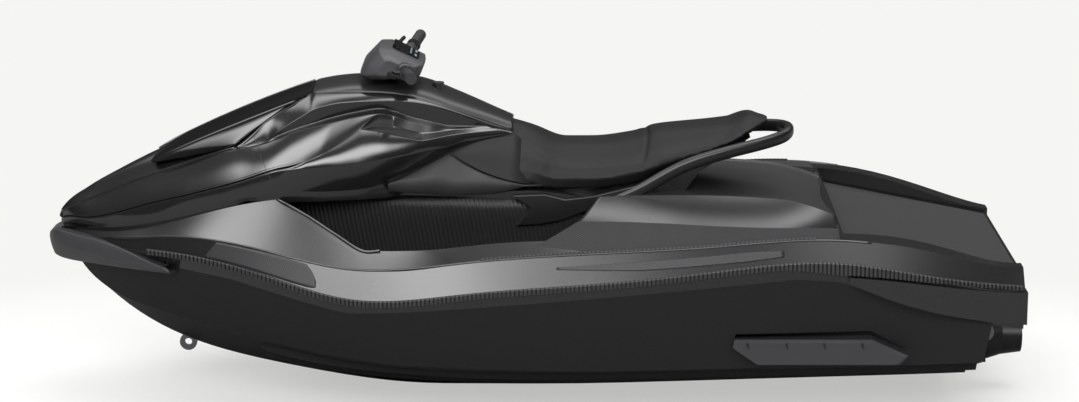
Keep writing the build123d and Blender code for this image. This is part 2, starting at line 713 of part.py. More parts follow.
pod_rows = []
for row in POD_ROWS:
    s = dict(zip(POD_COLUMNS, row))
    x = STEER_AT.X + s["ahead"]
    low = pod_floor(x)
    half = s["half_width"]
    pod_rows.append((x, mirrored([
        (0, low), (half * 0.86, low), (half, low + (s["top_up"] - low) * 0.45), (half * 0.80, s["top_up"]),
        (0, s["top_up"] + 4),
    ])))
with BuildPart() as handlebar_pod:
    add(section_loft(pod_rows))
    add(screen_plate(SEAM), mode=Mode.SUBTRACT)
    add(bar_room, mode=Mode.SUBTRACT)
    add(rod(from_column(0), from_column(COLUMN_IN_POD + SEAM), COLUMN_RADIUS + SEAM), mode=Mode.SUBTRACT)
keep("handlebar_pod", handlebar_pod.part)
keep("display_screen", screen_plate(0.0))

bar_way = (BAR_TIP - BAR_BEND).normalized()
ahead_way = Vector(1, 0, 0)


def on_bar(distance, ahead=0.0):
    """A point along the port half of the bar, measured from its bend, moved ahead of it."""
    return tuple(BAR_BEND + bar_way * distance + ahead_way * ahead)


bar_length = (BAR_TIP - BAR_BEND).length
with BuildPart() as grip:
    add(rod(on_bar(bar_length - GRIP_LENGTH), on_bar(bar_length + GRIP_CAP), GRIP_RADIUS))
    add(rod(on_bar(bar_length - GRIP_LENGTH), on_bar(bar_length - GRIP_LENGTH + 7), GRIP_RADIUS + 4))
    add(rod(on_bar(bar_length - GRIP_LENGTH), on_bar(bar_length + SEAM), BAR_RADIUS + SEAM), mode=Mode.SUBTRACT)
with BuildPart() as switch_pod:
    add(rod(on_bar(SWITCH_SPAN[0]), on_bar(SWITCH_SPAN[1]), SWITCH_RADIUS))
    edges = switch_pod.edges().filter_by(GeomType.CIRCLE)
    chamfer(edges, 4)
    add(rod(on_bar(0), on_bar(SWITCH_SPAN[1] + 9), BAR_RADIUS + SEAM), mode=Mode.SUBTRACT)
with BuildPart() as lever:
    add(rod(on_bar(PERCH_SPAN[0]), on_bar(PERCH_SPAN[1]), PERCH_RADIUS))
    with BuildLine() as reach:
        middle = sum(PERCH_SPAN) / 2
        FilletPolyline(
            on_bar(middle, PERCH_RADIUS * 0.6), on_bar(middle + 4, LEVER_AHEAD * 0.8),
            on_bar(middle + 34, LEVER_AHEAD), on_bar(LEVER_SPAN, LEVER_AHEAD * 0.86), radius=12,
        )
    with BuildSketch(Plane(origin=reach.line @ 0, z_dir=reach.line % 0)):
        Circle(LEVER_RADIUS)
    sweep(path=reach.line)
    add(rod(on_bar(PERCH_SPAN[0] - 9), on_bar(PERCH_SPAN[1] + 9), BAR_RADIUS + SEAM), mode=Mode.SUBTRACT)
for label, shape in (("grip", grip.part), ("switch_pod", switch_pod.part)):
    keep(f"{label}_left", shape)
    keep(f"{label}_right", shape.mirror(Plane.XZ))
keep("reverse_lever", lever.part)
keep("throttle_lever", lever.part.mirror(Plane.XZ))

# Lanyard post on the console, behind the pod
POST_X = along(0.198)
POST_RADIUS = 13.0
POST_TALL = 22.0
POST_FOOT_UP = 640.0
POST_SUNK = 20.0
POST_RIM = 7.0
POST_RIM_PROUD = 4.0
with BuildPart() as lanyard_post:
    add(rod((POST_X, 0, POST_FOOT_UP - POST_SUNK), (POST_X, 0, POST_FOOT_UP + POST_TALL), POST_RADIUS))
    rim_up = POST_FOOT_UP + POST_TALL
    add(rod((POST_X, 0, rim_up - POST_RIM), (POST_X, 0, rim_up), POST_RADIUS + POST_RIM_PROUD))
    add(cowl(SEAM), mode=Mode.SUBTRACT)
keep("lanyard_post", lanyard_post.part)

# Saddle sections from front to back: shares along and out, heights in millimetres
SEAT_COLUMNS = (
    "along", "floor_out", "floor_up", "side_out", "side_up", "edge_out", "edge_up", "crown_up",
)
SEAT_ROWS = (
    (0.039, 0.330, 415, 0.340, 455, 0.188, 535, 547),
    (-0.048, 0.342, 402, 0.350, 436, 0.222, 482, 494),
    (-0.131, 0.342, 394, 0.350, 438, 0.239, 484, 494),
    (-0.214, 0.325, 402, 0.350, 455, 0.256, 503, 514),
    (-0.255, 0.310, 420, 0.348, 474, 0.262, 524, 535),
    (-0.338, 0.256, 470, 0.342, 495, 0.256, 540, 547),
    (-0.414, 0.222, 505, 0.290, 525, 0.214, 552, 560),
    (-0.476, 0.154, 545, 0.214, 555, 0.162, 572, 576),
)


def saddle(grow):
    """The saddle's padded body, grown all round."""
    rows = []
    for row in SEAT_ROWS:
        s = dict(zip(SEAT_COLUMNS, row))
        end = {SEAT_ROWS[0][0]: grow, SEAT_ROWS[-1][0]: -grow}.get(s["along"], 0.0)
        rows.append((along(s["along"]) + end, mirrored([
            (0, s["floor_up"] - grow), (out(s["floor_out"]) + grow, s["floor_up"] - grow),
            (out(s["side_out"]) + grow, s["side_up"]), (out(s["edge_out"]) + grow, s["edge_up"] + grow),
            (0, s["crown_up"] + grow),
        ])))
    return section_loft(rows)


keep("seat", saddle(0.0))

# Moulded base under the saddle, rising to carry its tail
BASE_SIDE = (
    (0.039, 330), (0.039, 428), (-0.048, 415), (-0.214, 418), (-0.338, 480), (-0.420, 520), (-0.440, 518),
    (-0.400, 480), (-0.330, 420), (-0.262, 290),
)
BASE_PLAN = ((0.039, 0.300), (-0.214, 0.300), (-0.338, 0.236), (-0.440, 0.150))
base_half = [(along(a), out(o)) for a, o in BASE_PLAN]
with BuildPart() as seat_base:
    add(side_prism([(along(a), up) for a, up in BASE_SIDE]))
    base_ring = base_half + [(x, -y) for x, y in reversed(base_half)]
    add(plan_prism([base_ring], 0, ABOVE_ALL), mode=Mode.INTERSECT)
    add(saddle(SEAM), mode=Mode.SUBTRACT)
    add(outer_skin, mode=Mode.SUBTRACT)
keep("seat_base", seat_base.part)

# Grab rail from the pedestal sides round the saddle's tail
RAIL_TUBE = 14.0
RAIL_ROUTE = (
    (-0.060, 0.414, 286), (-0.228, 0.414, 378), (-0.310, 0.385, 447), (-0.480, 0.265, 520), (-0.520, 0.150, 545),
)
RAIL_BEND = 45.0
RAIL_FOOT_SIDE = ((-0.030, 262), (-0.052, 322), (-0.150, 322), (-0.130, 292), (-0.085, 256))
RAIL_FOOT_THICK = 12.0
rail_points = [(along(a), out(o), up) for a, o, up in RAIL_ROUTE]
rail_points += [(x, -y, z) for x, y, z in reversed(rail_points)]
pedestal_out = out(FOOTWELL_PLAN[0][1])
with BuildPart() as grab_rail:
    with BuildLine() as loop:
        FilletPolyline(*rail_points, radius=RAIL_BEND)
    with BuildSketch(Plane(origin=loop.line @ 0, z_dir=loop.line % 0)):
        Circle(RAIL_TUBE)
    sweep(path=loop.line)
    foot_ring = [(along(a), up) for a, up in RAIL_FOOT_SIDE]
    for side in SIDES.values():
        near, far = sorted((side * (pedestal_out + SEAM), side * (pedestal_out + SEAM + RAIL_FOOT_THICK)))
        add(side_prism(foot_ring, near, far))
    inside = block((-HALF_LENGTH, HALF_LENGTH), (-pedestal_out - SEAM, pedestal_out + SEAM), (0, 330))
    add(inside, mode=Mode.SUBTRACT)
keep("grab_rail", grab_rail.part)

# Ribbed knee pads on the pedestal walls
PAD_X = (along(-0.020), along(0.500))
PAD_TOP_UP = 352.0
PAD_LIFT = 14.0
PAD_THICK = 5.0
PAD_RIB = 4.0
PAD_RIBS = 26
PAD_BORDER = 8.0


def ramp_up(x):
    """Height of the footwell's floor and of the ramp behind it."""
    run = along(RAMP_FOOT_ALONG) - along(RAMP_TOP_ALONG)
    climb = (along(RAMP_FOOT_ALONG) - x) * (RAMP_TOP_UP - FOOTWELL_FLOOR_UP) / run
    return FOOTWELL_FLOOR_UP + max(0.0, climb)


pad_ring = [(PAD_X[1], PAD_TOP_UP), (PAD_X[0], PAD_TOP_UP)]
pad_ring += [(x, ramp_up(x) + PAD_LIFT) for x in (PAD_X[0], along(RAMP_FOOT_ALONG), PAD_X[1])]
pad_far = pedestal_out + SEAM + PAD_THICK
with BuildPart() as knee_pad:
    add(side_prism(pad_ring, pedestal_out + SEAM, pad_far))
    pitch = (PAD_X[1] - PAD_X[0]) / PAD_RIBS
    for index in range(PAD_RIBS):
        x = PAD_X[0] + pitch * (index + 0.25)
        low = ramp_up(x) + PAD_LIFT + PAD_BORDER
        add(block((x, x + pitch / 2), (pad_far, pad_far + PAD_RIB), (low, PAD_TOP_UP - PAD_BORDER)))
keep("knee_pad_left", knee_pad.part)
keep("knee_pad_right", knee_pad.part.mirror(Plane.XZ))

# Foot and deck mats
MAT_THICK = 6.0
MAT_PLAN = ((0.527, 0.412), (0.497, 0.545), (0.336, 0.760), (0.207, 0.765), (0.112, 0.765), (0.112, 0.412))
DECK_MAT_PLAN = ((-0.238, 0.275), (-0.238, 0.760), (-0.400, 0.805), (-0.575, 0.770), (-0.575, 0.275))
TRAY_MAT_EDGE = 14.0
with BuildPart() as footwell_mat:
    ring = [(along(a), out(o)) for a, o in MAT_PLAN]
    add(plan_prism([ring], FOOTWELL_FLOOR_UP + SEAM, FOOTWELL_FLOOR_UP + SEAM + MAT_THICK))
keep("footwell_mat_left", footwell_mat.part)
keep("footwell_mat_right", footwell_mat.part.mirror(Plane.XZ))
with BuildPart() as side_deck_mat:
    add(skin(SEAM + MAT_THICK))
    add(plan_prism([[(along(a), out(o)) for a, o in DECK_MAT_PLAN]], 200, 400), mode=Mode.INTERSECT)
    add(outer_skin, mode=Mode.SUBTRACT)
    add(seat_base.part, mode=Mode.SUBTRACT)
keep("side_deck_mat_left", side_deck_mat.part)
keep("side_deck_mat_right", side_deck_mat.part.mirror(Plane.XZ))
mat_front = along(TRAY_FRONT_ALONG) - TRAY_MAT_EDGE
mat_back = along(-0.966) + TRAY_MAT_EDGE
with BuildPart() as rear_deck_mat:
    floor_front = tray_floor(mat_front) + SEAM
    floor_back = tray_floor(mat_back) + SEAM
    add(side_prism([
        (mat_front, floor_front), (mat_front, floor_front + MAT_THICK),
        (mat_back, floor_back + MAT_THICK), (mat_back, floor_back),
    ]))
    front_half = out(TRAY_FRONT_OUT) - TRAY_MAT_EDGE * 1.5
    back_half = out(TRAY_BACK_OUT) - TRAY_MAT_EDGE
    add(plan_prism([[
        (mat_front, -front_half), (mat_front, front_half), (mat_back, back_half), (mat_back, -back_half),
    ]], 0, ABOVE_ALL), mode=Mode.INTERSECT)
keep("rear_deck_mat", rear_deck_mat.part)

# Sponsons
with BuildPart() as sponson:
    add(side_prism(sponson_ring, out(SPONSON_RECESS_OUT) + SEAM, out(SPONSON_FACE_OUT)))
    chamfer(sponson.faces().sort_by(Axis.Y)[-1].edges(), 8)
    add(side_prism(recess_ring, 0, out(2)), mode=Mode.INTERSECT)
keep("sponson_left", sponson.part)
keep("sponson_right", sponson.part.mirror(Plane.XZ))

# Towing eyes: bow eye under the stem and one at each side of the transom
EYE_RADIUS = 26.0
EYE_HOLE = 11.0
EYE_HALF_THICK = 6.0
BOW_EYE_X = along(0.722)
BOW_EYE_UP = at("keel_up", BOW_EYE_X) - 15
STERN_EYE_OUT = out(0.513)
STERN_EYE_UP = -20.0
transom_rise = TRANSOM_TOP[1] - TRANSOM_FOOT[1]


def transom_x(up):
    """How far aft the sloping transom is at a height."""
    return TRANSOM_FOOT[0] + (TRANSOM_TOP[0] - TRANSOM_FOOT[0]) * (up - TRANSOM_FOOT[1]) / transom_rise


STERN_EYE_X = transom_x(STERN_EYE_UP) - 15


def eye(x, y, z):
    """A flat eye with its hole across the craft."""
    with BuildPart() as body:
        with BuildSketch(Plane(origin=(x, y - EYE_HALF_THICK, z), x_dir=(-1, 0, 0), z_dir=(0, 1, 0))):
            Circle(EYE_RADIUS)
            Circle(EYE_HOLE, mode=Mode.SUBTRACT)
        extrude(amount=2 * EYE_HALF_THICK)
    return body.part


with BuildPart() as bow_eye:
    add(eye(BOW_EYE_X, 0, BOW_EYE_UP))
    add(outer_skin, mode=Mode.SUBTRACT)
keep("bow_eye", bow_eye.part)
past_transom = side_prism([
    (transom_x(100) - SEAM, 100), (-2 * HALF_LENGTH, 100), (-2 * HALF_LENGTH, -200), (transom_x(-200) - SEAM, -200),
])
for name, side in SIDES.items():
    with BuildPart() as stern_eye:
        add(eye(STERN_EYE_X, side * STERN_EYE_OUT, STERN_EYE_UP))
        add(past_transom, mode=Mode.INTERSECT)
    keep(f"stern_eye_{name}", stern_eye.part)

# Heavy pieces
with BuildPart() as battery_pack:
    add(block(BATTERY_X, (-BATTERY_HALF, BATTERY_HALF), BATTERY_UP))
keep("battery_pack", battery_pack.part)
with BuildPart() as drive_motor:
    add(rod((MOTOR_X[0], 0, SHAFT_UP), (MOTOR_X[1], 0, SHAFT_UP), MOTOR_RADIUS))
keep("drive_motor", drive_motor.part)

# Jet pump: outside and bore of the housing as (distance aft of the tunnel's front, radius)
PUMP_OUTER = ((SEAM, 92), (190, 92), (300, 55), (352, 51))
PUMP_BORE = ((352, 43), (300, 46), (200, 78), (SEAM, 78))
HUB_RADIUS = 28.0
VANES = 6
VANE_SPAN = (150.0, 200.0)
VANE_THICK = 4.0
VANE_SUNK = 3.0
VANE_TIP = 80.0
VANE_LEAN = 12.0
HUB_TAIL_RADIUS = 8.0
HUB_SPAN = (148.0, 262.0)
BEARING_DEPTH = 24.0
EAR_UP = (74.0, 84.0)
EAR_HALF = 13.0
EAR_FRONT = 235.0
NOZZLE_PIVOT = 345.0
NOZZLE_PIN = 6.0
NOZZLE_BOSS_RADIUS = 12.0
NOZZLE_BOSS_ROOT = 66.0
PAST_END = 2.0
# Impeller: its hub widens from the nose to its full radius
IMPELLER_SPAN = (22.0, 142.0)
IMPELLER_NOSE_RADIUS = 16.0
IMPELLER_FULL_AT = 60.0
IMPELLER_RADIUS = HUB_RADIUS - 2.0
BLADES = 4
BLADE_SPAN = (32.0, 138.0)
BLADE_TIP = 73.0
BLADE_ROOT = 18.0
BLADE_THICK = 5.0
BLADE_TWIST = 75.0
# Steering nozzle, outside and bore as (distance aft of the tunnel's front, radius)
NOZZLE_OUTER = ((344, 73), (358, 73), (400, 60), (460, 52))
NOZZLE_BORE = ((460, 44), (398, 52), (358, 64.5), (344, 64.5))


def aft(distance):
    """A place measured aft from the front of the pump tunnel."""
    return TUNNEL_FRONT - distance


def around(radius, sideways, angle):
    """A point (out, up) at a radius and a small sideways offset, turned about the shaft."""
    turn = math.radians(angle)
    return (
        radius * math.cos(turn) - sideways * math.sin(turn),
        SHAFT_UP + radius * math.sin(turn) + sideways * math.cos(turn),
    )


def radial_blade(near, far, thick, stops):
    """A blade skinned over thin radial bars, one (distance aft, angle) pair for each."""
    rows = []
    for distance, angle in stops:
        corners = ((near, -thick / 2), (far, -thick / 2), (far, thick / 2), (near, thick / 2))
        rows.append((aft(distance), [around(r, w, angle) for r, w in corners]))
    return section_loft(rows)


with BuildPart() as pump_housing:
    add(turned([(aft(d), r) for d, r in PUMP_OUTER + PUMP_BORE], SHAFT_UP))
    add(turned([
        (aft(HUB_SPAN[0]), 0), (aft(HUB_SPAN[0]), HUB_RADIUS), (aft(VANE_SPAN[1]), HUB_RADIUS),
        (aft(HUB_SPAN[1]), HUB_TAIL_RADIUS), (aft(HUB_SPAN[1]), 0),
    ], SHAFT_UP))
    for index in range(VANES):
        turn = 360 / VANES * index
        stops = ((VANE_SPAN[0], turn - VANE_LEAN), (VANE_SPAN[1], turn))
        add(radial_blade(HUB_RADIUS - VANE_SUNK, VANE_TIP, VANE_THICK, stops))
    for up_side in (1, -1):
        low, high = sorted((up_side * EAR_UP[0], up_side * EAR_UP[1]))
        ear_front, ear_back = aft(EAR_FRONT), aft(NOZZLE_PIVOT + EAR_HALF)
        add(block((ear_back, ear_front), (-EAR_HALF, EAR_HALF), (SHAFT_UP + low, SHAFT_UP + high)))
        add(
            rod(
                (aft(NOZZLE_PIVOT), 0, SHAFT_UP + low - 1), (aft(NOZZLE_PIVOT), 0, SHAFT_UP + high + 1),
                NOZZLE_PIN + RUNNING_FIT,
            ),
            mode=Mode.SUBTRACT,
        )
    add(
        rod((aft(0), 0, SHAFT_UP), (aft(HUB_SPAN[0] + BEARING_DEPTH), 0, SHAFT_UP), SHAFT_RADIUS + RUNNING_FIT),
        mode=Mode.SUBTRACT,
    )
keep("pump_housing", pump_housing.part)

with BuildPart() as impeller:
    add(turned([
        (aft(IMPELLER_SPAN[0]), 0), (aft(IMPELLER_SPAN[0]), IMPELLER_NOSE_RADIUS),
        (aft(IMPELLER_FULL_AT), IMPELLER_RADIUS), (aft(IMPELLER_SPAN[1]), IMPELLER_RADIUS),
        (aft(IMPELLER_SPAN[1]), 0),
    ], SHAFT_UP))
    middle = sum(BLADE_SPAN) / 2
    for index in range(BLADES):
        turn = 360 / BLADES * index
        stops = ((BLADE_SPAN[0], turn), (middle, turn + BLADE_TWIST / 2), (BLADE_SPAN[1], turn + BLADE_TWIST))
        add(radial_blade(BLADE_ROOT, BLADE_TIP, BLADE_THICK, stops))
    bore_ends = [(aft(IMPELLER_SPAN[0] - PAST_END), 0, SHAFT_UP), (aft(IMPELLER_SPAN[1] + PAST_END), 0, SHAFT_UP)]
    add(rod(*bore_ends, SHAFT_RADIUS), mode=Mode.SUBTRACT)
keep("impeller", impeller.part)
with BuildPart() as drive_shaft:
    add(rod(
        (aft(HUB_SPAN[0] + BEARING_DEPTH - SEAM), 0, SHAFT_UP), (MOTOR_X[0] - SEAM, 0, SHAFT_UP), SHAFT_RADIUS
    ))
keep("drive_shaft", drive_shaft.part)

with BuildPart() as steering_nozzle:
    add(turned([(aft(d), r) for d, r in NOZZLE_OUTER + NOZZLE_BORE], SHAFT_UP))
    for up_side in (1, -1):
        pivot = aft(NOZZLE_PIVOT)
        boss_root = SHAFT_UP + up_side * NOZZLE_BOSS_ROOT
        boss_end = SHAFT_UP + up_side * (EAR_UP[0] - SEAM)
        add(rod((pivot, 0, boss_root), (pivot, 0, boss_end), NOZZLE_BOSS_RADIUS))
        add(rod((pivot, 0, boss_root), (pivot, 0, SHAFT_UP + up_side * EAR_UP[1]), NOZZLE_PIN))
keep("steering_nozzle", steering_nozzle.part)

# Ride plate closing the tunnel under the pump, and the intake grate ahead of it
PLATE_FRONT = TUNNEL_FRONT - 8
PLATE_BACK = TRANSOM_FOOT[0] - 26
RIDE_PLATE_THICK = 10.0
plate_half = TUNNEL_HALF - SEAM
plate_rows = []
for x in (PLATE_FRONT, PLATE_BACK):
    keel = at("keel_up", x)
    edge_up = keel + (at("chine_up", x) - keel) * plate_half / out(at("chine_out", x))
    plate_rows.append((x, [
        (0, keel), (plate_half, edge_up), (plate_half, edge_up + RIDE_PLATE_THICK), (0, keel + RIDE_PLATE_THICK),
        (-plate_half, edge_up + RIDE_PLATE_THICK), (-plate_half, edge_up),
    ]))
with BuildPart() as ride_plate:
    add(section_loft(plate_rows))
keep("ride_plate", ride_plate.part)

GRATE_BARS = (-36.0, 0.0, 36.0)
GRATE_RADIUS = 7.0
GRATE_X = (TUNNEL_FRONT + 20, TUNNEL_FRONT + 470)
with BuildPart() as intake_grate:
    for y in GRATE_BARS:
        ends = []
        for x in GRATE_X:
            rise = (at("chine_up", x) - at("keel_up", x)) * abs(y) / out(at("chine_out", x))
            ends.append((x, y, at("keel_up", x) + rise + GRATE_RADIUS + 6))
        add(rod(ends[0], ends[1], GRATE_RADIUS))
    cross_x = TUNNEL_FRONT + 190
    cross_up = at("keel_up", cross_x) + GRATE_RADIUS + 18
    add(rod((cross_x, GRATE_BARS[0], cross_up), (cross_x, GRATE_BARS[-1], cross_up), GRATE_RADIUS))
    add(hull.part, mode=Mode.SUBTRACT)
keep("intake_grate", intake_grate.part)

os.makedirs("parts", exist_ok=True)
for name, shape in pieces.items():
    export_step(shape, f"parts/{name}.step")
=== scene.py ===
"""Looks of an electric personal watercraft: finishes, skins and trim around its fixed frame.

Metres, +X forward to the bow, +Y to port, +Z up, origin amidships at the waterline.
"""

import json
import math
from functools import partialmethod

import bmesh
import bpy
import numpy as np
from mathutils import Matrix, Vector


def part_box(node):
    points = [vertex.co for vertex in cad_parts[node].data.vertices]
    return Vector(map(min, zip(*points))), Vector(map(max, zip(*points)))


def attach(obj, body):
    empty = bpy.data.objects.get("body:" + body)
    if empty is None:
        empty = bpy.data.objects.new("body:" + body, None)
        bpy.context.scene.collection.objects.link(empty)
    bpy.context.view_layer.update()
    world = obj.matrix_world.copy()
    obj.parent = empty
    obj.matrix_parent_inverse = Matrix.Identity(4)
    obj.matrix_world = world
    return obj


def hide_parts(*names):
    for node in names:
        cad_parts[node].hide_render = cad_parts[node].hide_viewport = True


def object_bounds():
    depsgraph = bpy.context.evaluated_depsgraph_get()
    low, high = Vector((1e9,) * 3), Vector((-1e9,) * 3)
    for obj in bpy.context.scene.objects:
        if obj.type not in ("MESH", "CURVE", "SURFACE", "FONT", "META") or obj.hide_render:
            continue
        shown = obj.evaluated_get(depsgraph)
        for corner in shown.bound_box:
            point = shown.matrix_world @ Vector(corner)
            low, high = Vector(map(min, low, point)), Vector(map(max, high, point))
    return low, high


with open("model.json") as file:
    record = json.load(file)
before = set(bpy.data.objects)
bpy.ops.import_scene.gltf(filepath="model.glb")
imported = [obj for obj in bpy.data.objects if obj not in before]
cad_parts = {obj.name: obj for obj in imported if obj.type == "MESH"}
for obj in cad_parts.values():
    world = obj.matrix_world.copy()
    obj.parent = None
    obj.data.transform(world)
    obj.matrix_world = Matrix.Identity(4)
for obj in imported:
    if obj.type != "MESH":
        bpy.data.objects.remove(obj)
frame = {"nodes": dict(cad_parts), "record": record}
cad_low, cad_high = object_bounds()
KEEL_UP = cad_low[2]
SIDES = {"left": 1.0, "right": -1.0}

# Camera of the photograph: broadside to port, a little above level
VIEW_TARGET = (-0.012, 0.0, 0.300)
VIEW_DISTANCE = 9.0
VIEW_ELEVATION = math.radians(13.5)
LENS_PER_WIDTH = 3015.0 / 1079.0
SENSOR_WIDTH = 36.0


class Value:
    """A shader socket that takes part in Python arithmetic by adding Math nodes."""

    def __init__(self, tree, socket):
        self.tree = tree
        self.socket = socket

    def math(self, operation, *others):
        return Shader(self.tree).node("ShaderNodeMath", {"operation": operation}, (self,) + others)

    __add__ = __radd__ = partialmethod(math, "ADD")
    __sub__ = partialmethod(math, "SUBTRACT")
    __mul__ = __rmul__ = partialmethod(math, "MULTIPLY")
    __truediv__ = partialmethod(math, "DIVIDE")
    wave = partialmethod(math, "SINE")
    above = partialmethod(math, "GREATER_THAN")
    below = partialmethod(math, "LESS_THAN")
    size = partialmethod(math, "ABSOLUTE")
    power = partialmethod(math, "POWER")

    def __rsub__(self, other):
        return Shader(self.tree).node("ShaderNodeMath", {"operation": "SUBTRACT"}, (other, self))

    def cycle(self, period):
        """Place within a repeat, from 0 to 1."""
        return (self / period).math("FRACT")

    def clamp(self):
        return self.math("MAXIMUM", 0.0).math("MINIMUM", 1.0)

    def smooth(self, low, high):
        """Rises from 0 to 1 between two values."""
        return Shader(self.tree).node(
            "ShaderNodeMapRange", {"interpolation_type": "SMOOTHSTEP"}, {0: self, 1: low, 2: high}
        )


class Shader:
    """Adds nodes to one material's tree and links them by value."""

    def __init__(self, tree):
        self.tree = tree

    def node(self, kind, settings=None, inputs=None, output=0):
        made = self.tree.nodes.new(kind)
        for name, value in (settings or {}).items():
            setattr(made, name, value)
        pairs = inputs.items() if isinstance(inputs, dict) else enumerate(inputs or ())
        for key, value in pairs:
            if isinstance(value, Value):
                self.tree.links.new(value.socket, made.inputs[key])
            else:
                made.inputs[key].default_value = value
        return Value(self.tree, made.outputs[output])

    def split(self, vector):
        """The three parts of a vector."""
        apart = self.tree.nodes.new("ShaderNodeSeparateXYZ")
        self.tree.links.new(vector.socket, apart.inputs[0])
        return [Value(self.tree, apart.outputs[axis]) for axis in range(3)]

    def place(self):
        """Object coordinates as three values."""
        return self.split(self.node("ShaderNodeTexCoord", output="Object"))

    def facing(self):
        """The surface's own normal as three values."""
        return self.split(self.node("ShaderNodeTexCoord", output="Normal"))

    def noise(self, scale, detail=2.0):
        where = self.node("ShaderNodeTexCoord", output="Object")
        return self.node("ShaderNodeTexNoise", {}, {"Vector": where, "Scale": scale, "Detail": detail})

    def blend(self, share, first, second):
        """A colour between two colours."""
        return self.node("ShaderNodeMix", {"data_type": "RGBA"}, {0: share, 6: first, 7: second}, output=2)

    def tones(self, share, level, low, high):
        """A grey between two multiples of one level."""
        return self.blend(share, shade(level * low), shade(level * high))

    def bump(self, height, strength, distance=0.001):
        return self.node("ShaderNodeBump", {}, {"Height": height, "Strength": strength, "Distance": distance})


class Finish(Shader):
    """A new material with a principled shader, whose uniform sockets are set by name."""

    def __init__(self, name, colour, roughness, **uniform):
        self.material = bpy.data.materials.new(name)
        self.material.use_nodes = True
        super().__init__(self.material.node_tree)
        self.principled = self.tree.nodes["Principled BSDF"]
        settings = {"Base_Color": (*colour, 1.0), "Roughness": roughness, **uniform}
        for socket, value in settings.items():
            self.principled.inputs[socket.replace("_", " ")].default_value = value

    def feed(self, **values):
        """Links values to the principled shader's sockets and gives back the material."""
        for socket, value in values.items():
            self.tree.links.new(value.socket, self.principled.inputs[socket.replace("_", " ")])
        return self.material


def grey(level):
    return (level, level, level * 1.06)


def shade(level):
    return (*grey(level), 1.0)


def metres(*points):
    """A table of points written in millimetres."""
    return np.array(points, float) / 1000


def rise(x, start, end):
    """Straight from 0 at start to 1 at end, level beyond both."""
    return np.clip((x - start) / (end - start), 0, 1)


def smooth_line(points, x):
    """Points (x, out, up) at each x on a cubic through the points given, slopes limited against overshoot."""
    points = points[np.argsort(points[:, 0])]
    knots, values = points[:, 0], points[:, 1:]
    gaps = np.diff(knots)[:, None]
    rises = np.diff(values, axis=0) / gaps
    together = rises[:-1] * rises[1:]
    slopes = np.vstack([rises[:1], rises[:1] * np.zeros((len(knots) - 2, 1)), rises[-1:]])
    both = rises[:-1] + rises[1:]
    slopes[1:-1] = np.where(together > 0, 2 * together / np.where(both == 0, 1, both), 0)
    inside = np.clip(x, knots[0], knots[-1])
    left = np.clip(np.searchsorted(knots, inside) - 1, 0, len(gaps) - 1)
    span = gaps[left]
    share = (inside - knots[left])[:, None] / span
    rest = 1 - share
    place = (
        values[left] * (1 + 2 * share) * rest**2
        + slopes[left] * span * share * rest**2
        + values[left + 1] * share**2 * (3 - 2 * share)
        - slopes[left + 1] * span * share**2 * rest
    )
    return np.column_stack([x, place])


def smooth_lines(x, *tables):
    return [smooth_line(points, x) for points in tables]


FILLET = 0.0013


def between(lines, bows, steps):
    """A sheet over feature lines: straight from one line to the next, bowed outwards by a parabola.

    Each inner line is replaced by two rows a little to either side, which leaves a narrow rounded edge.
    Returns columns by rows by 3, and for each row of faces the number of its strip.
    """
    rows, strips = [], []
    last = len(lines) - 2
    for number, (upper, lower, bow, count) in enumerate(zip(lines[:-1], lines[1:], bows, steps)):
        step = lower - upper
        wide = np.maximum(np.linalg.norm(step, axis=1, keepdims=True), 1e-6)
        outward = np.column_stack([np.zeros(len(step)), -step[:, 2], step[:, 1]]) / wide
        bow = np.broadcast_to(np.asarray(bow, float).reshape(-1, 1), (len(step), 1))
        edge = np.clip(FILLET / wide, 0, 0.2)
        inner = 2 * edge
        shares = [edge * (number > 0), inner]
        shares += [inner + (1 - 2 * inner) * place / count for place in range(1, count)]
        shares += [1 - inner, 1 - edge * (number < last)]
        for share in shares:
            rows.append(upper + share * step + 4 * share * (1 - share) * bow * outward)
            strips.append(number)
    return np.stack(rows, axis=1), np.array(strips[:-1])


def grid_faces(columns, rows, around=False):
    """Corner numbers of a grid's four-sided faces, joined round its rows when they close on themselves."""
    number = np.arange(columns * rows).reshape(columns, rows)
    if around:
        number = np.column_stack([number, number[:, 0]])
    corners = [number[:-1, :-1], number[1:, :-1], number[1:, 1:], number[:-1, 1:]]
    return np.stack(corners, axis=-1).reshape(-1, 4)


def placed(name, data):
    """A new object at the origin."""
    made = bpy.data.objects.new(name, data)
    bpy.context.scene.collection.objects.link(made)
    return made


def merged(mesh, near, outward=False):
    """Joins points that lie together, then turns a closed mesh outwards or drops a sheet's empty faces."""
    work = bmesh.new()
    work.from_mesh(mesh)
    bmesh.ops.remove_doubles(work, verts=work.verts, dist=near)
    if outward:
        bmesh.ops.recalc_face_normals(work, faces=work.faces)
    else:
        bmesh.ops.dissolve_degenerate(work, edges=work.edges, dist=near)
    work.to_mesh(mesh)
    work.free()


def all_smooth(mesh):
    mesh.polygons.foreach_set("use_smooth", np.ones(len(mesh.polygons), bool))


def new_piece(name, points, towards, finishes, marks=None, faces=None):
    """A mesh object over a sheet, or over points and faces, whose faces look mostly towards a direction.

    Marks give each face's finish.
    """
    if faces is None:
        faces = grid_faces(*points.shape[:2])
    points = points.reshape(-1, 3)
    corners = points[faces]
    normals = np.cross(corners[:, 2] - corners[:, 0], corners[:, 3] - corners[:, 1])
    if np.sum(normals @ np.asarray(towards, float)) < 0:
        faces = faces[:, ::-1]
    mesh = bpy.data.meshes.new(name)
    mesh.from_pydata(points.tolist(), [], faces.tolist())
    for item in finishes:
        mesh.materials.append(item)
    if marks is not None:
        mesh.polygons.foreach_set("material_index", np.asarray(marks, np.int32))
    all_smooth(mesh)
    merged(mesh, 2e-5)
    return placed(name, mesh)


